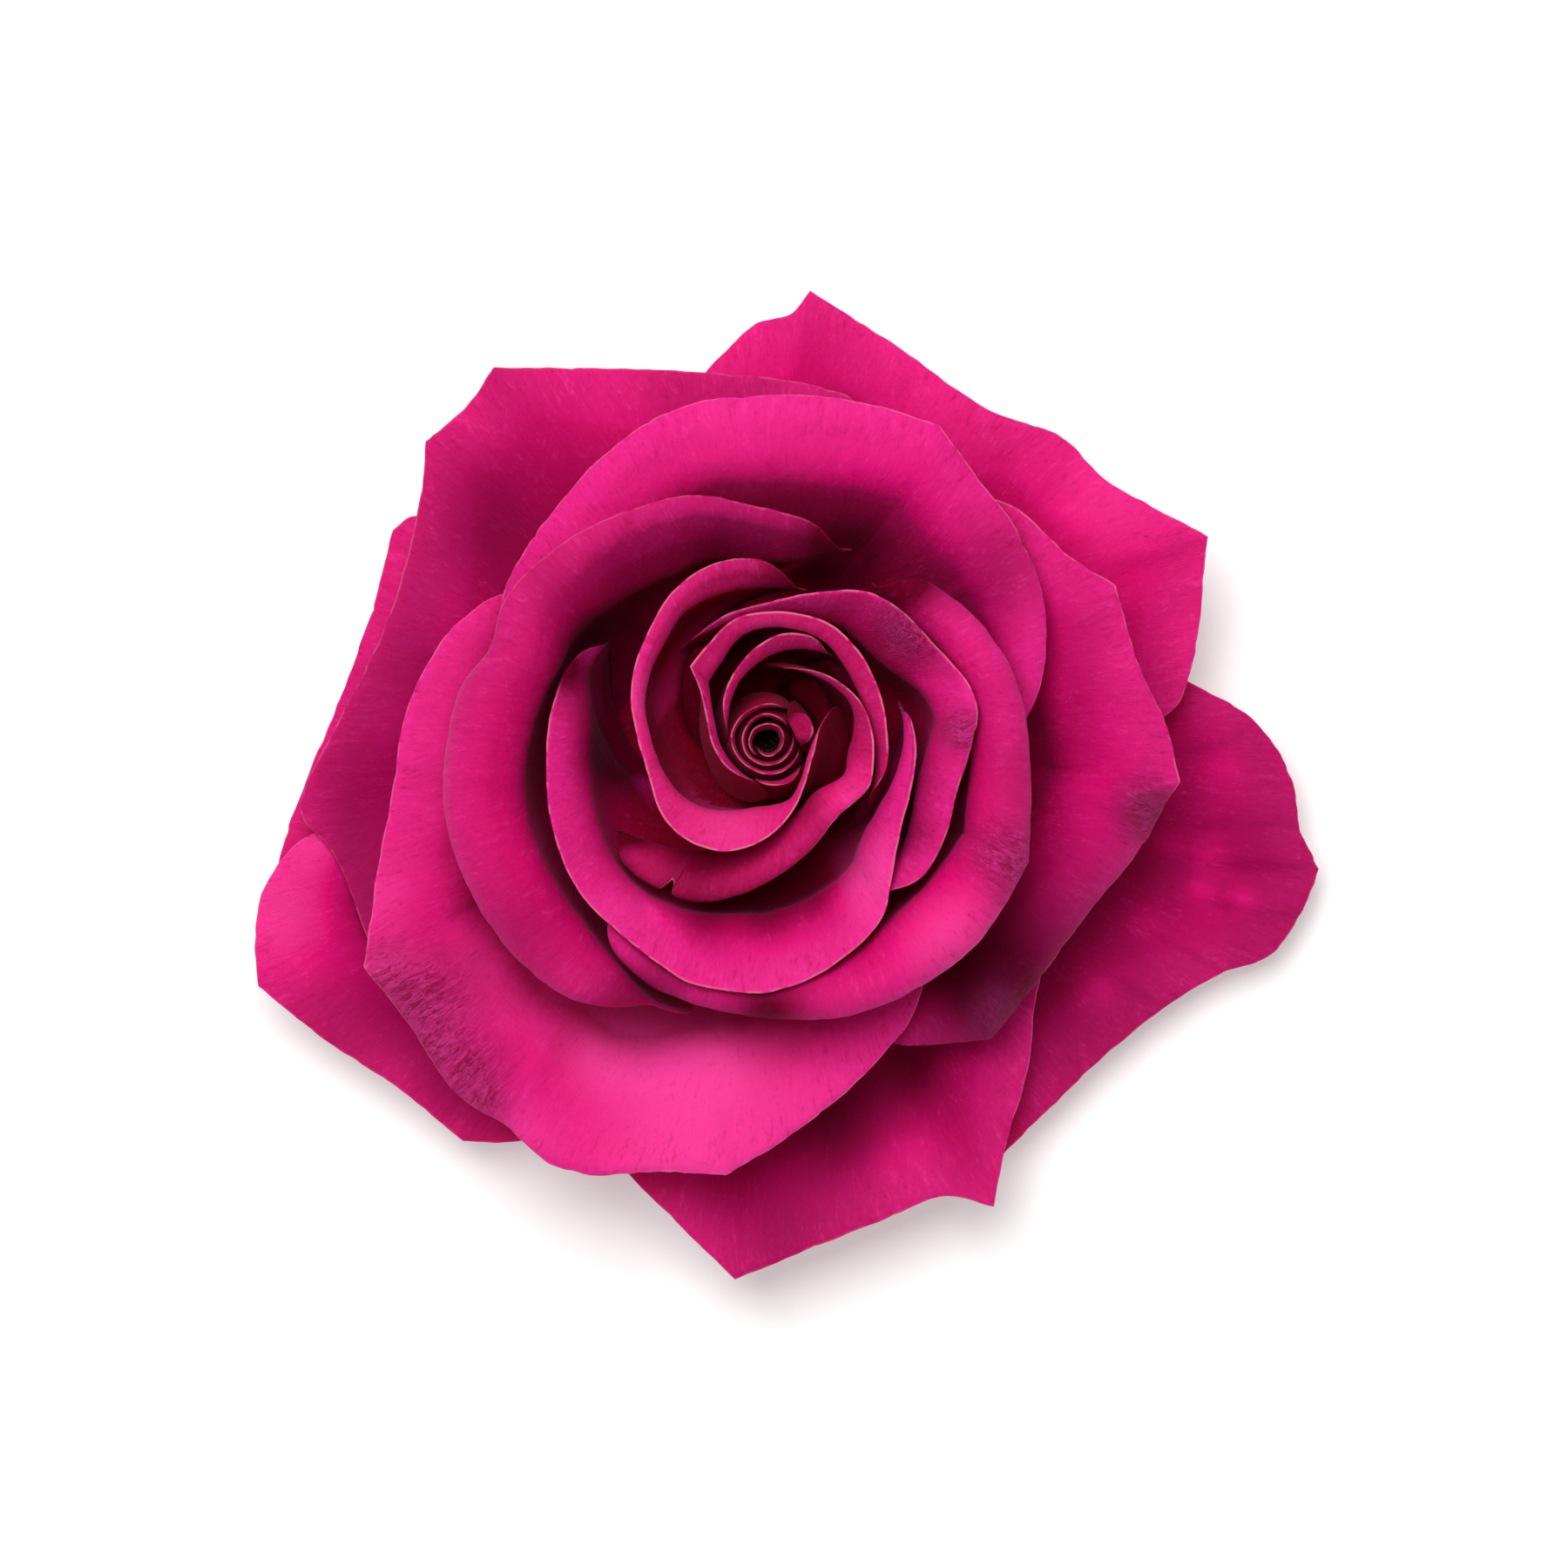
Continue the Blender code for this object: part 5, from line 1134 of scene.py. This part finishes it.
FLOOR_HALF = 2.0
FLOWER_HEIGHT = 0.034  # of the plane that the view's width is measured on
VIEW_SHIFT = (1.71, -4.75)  # of the camera from the flower's axis, in millimetres
KEY_PLACE, KEY_AIM, KEY_SIZE = Vector((-0.14, 0.30, 1.07)), Vector((0.0, 0.0, 0.02)), 0.55


class ROSE_OT_stage(bpy.types.Operator):
    """Add the floor, the lights and the camera"""

    bl_idname = "rose.stage"
    bl_label = "Stage"

    def execute(self, context):
        settings = context.scene.rose_stage
        scene = context.scene
        corners = [(x * FLOOR_HALF, y * FLOOR_HALF, 0.0) for x, y in ((-1, -1), (1, -1), (1, 1), (-1, 1))]
        mesh = bpy.data.meshes.new("floor")
        mesh.from_pydata(corners, [], [(0, 1, 2, 3)])
        finish, nodes, shader = new_finish("floor_paper")
        fleck = nodes.noise(nodes.place(), 900, 2, 0.5)
        shade = [c * 0.98 for c in settings.floor_color]
        nodes.fill(shader, {
            "Base Color": nodes.mix(fleck, shade, settings.floor_color), "Roughness": 0.9,
            "Emission Color": (1.0, 1.0, 1.0, 1.0), "Emission Strength": 0.3})
        mesh.materials.append(finish)
        floor = bpy.data.objects.new("floor", mesh)
        scene.collection.objects.link(floor)
        lamp = bpy.data.lights.new("key", "AREA")
        lamp.size, lamp.energy, lamp.color = KEY_SIZE, settings.key_power, (1.0, 0.99, 0.97)
        light = bpy.data.objects.new("key", lamp)
        light.location = KEY_PLACE
        light.rotation_euler = (KEY_AIM - KEY_PLACE).to_track_quat("-Z", "Y").to_euler()
        scene.collection.objects.link(light)
        scene.world = bpy.data.worlds.new("studio")
        scene.world.use_nodes = True
        background = scene.world.node_tree.nodes["Background"]
        background.inputs["Color"].default_value = (1.0, 1.0, 1.0, 1.0)
        background.inputs["Strength"].default_value = settings.fill
        scene.view_settings.view_transform = "Standard"
        lens = bpy.data.cameras.new("camera")
        lens.lens = lens.sensor_width * settings.view_height / settings.view_width
        lens.clip_end = 20.0
        camera = bpy.data.objects.new("camera", lens)
        shift_x, shift_y = VIEW_SHIFT
        camera.location = (
            (AXIS_X + shift_x) * MM, (AXIS_Y + shift_y) * MM, settings.view_height + FLOWER_HEIGHT)
        scene.collection.objects.link(camera)
        scene.camera = camera
        return {"FINISHED"}


class ROSE_PT_panel(bpy.types.Panel):
    """The rose's settings and its pieces"""

    bl_idname = "ROSE_PT_panel"
    bl_label = "Rose"
    bl_space_type = "VIEW_3D"
    bl_region_type = "UI"
    bl_category = "Rose"

    def draw(self, context):
        for ring in FORMS:
            self.layout.operator(ROSE_OT_petals.bl_idname, text=f"{ring.title()} petals").ring = ring
        for operator in (ROSE_OT_sepals, ROSE_OT_hip, ROSE_OT_stamens, ROSE_OT_styles, ROSE_OT_stage):
            self.layout.operator(operator.bl_idname)
        for group in SETTINGS:
            settings = getattr(context.scene, group)
            for key in settings.__annotations__:
                self.layout.prop(settings, key)


SETTINGS = {
    "rose_petals": RosePetalSettings, "rose_sepals": RoseSepalSettings,
    "rose_centre": RoseCentreSettings, "rose_stage": RoseStageSettings,
}
CLASSES = (
    *SETTINGS.values(), ROSE_OT_petals, ROSE_OT_sepals, ROSE_OT_hip, ROSE_OT_stamens, ROSE_OT_styles,
    ROSE_OT_stage, ROSE_PT_panel,
)


def register():
    for cls in CLASSES:
        bpy.utils.register_class(cls)
    for name, group in SETTINGS.items():
        setattr(bpy.types.Scene, name, PointerProperty(type=group))


def unregister():
    for name in SETTINGS:
        delattr(bpy.types.Scene, name)
    for cls in reversed(CLASSES):
        bpy.utils.unregister_class(cls)


def main():
    register()
    bpy.ops.rose.hip()
    bpy.ops.rose.styles()
    bpy.ops.rose.stamens()
    bpy.ops.rose.sepals()
    for ring in FORMS:
        bpy.ops.rose.petals(ring=ring)
    bpy.ops.rose.stage()


if __name__ == "__main__":
    main()
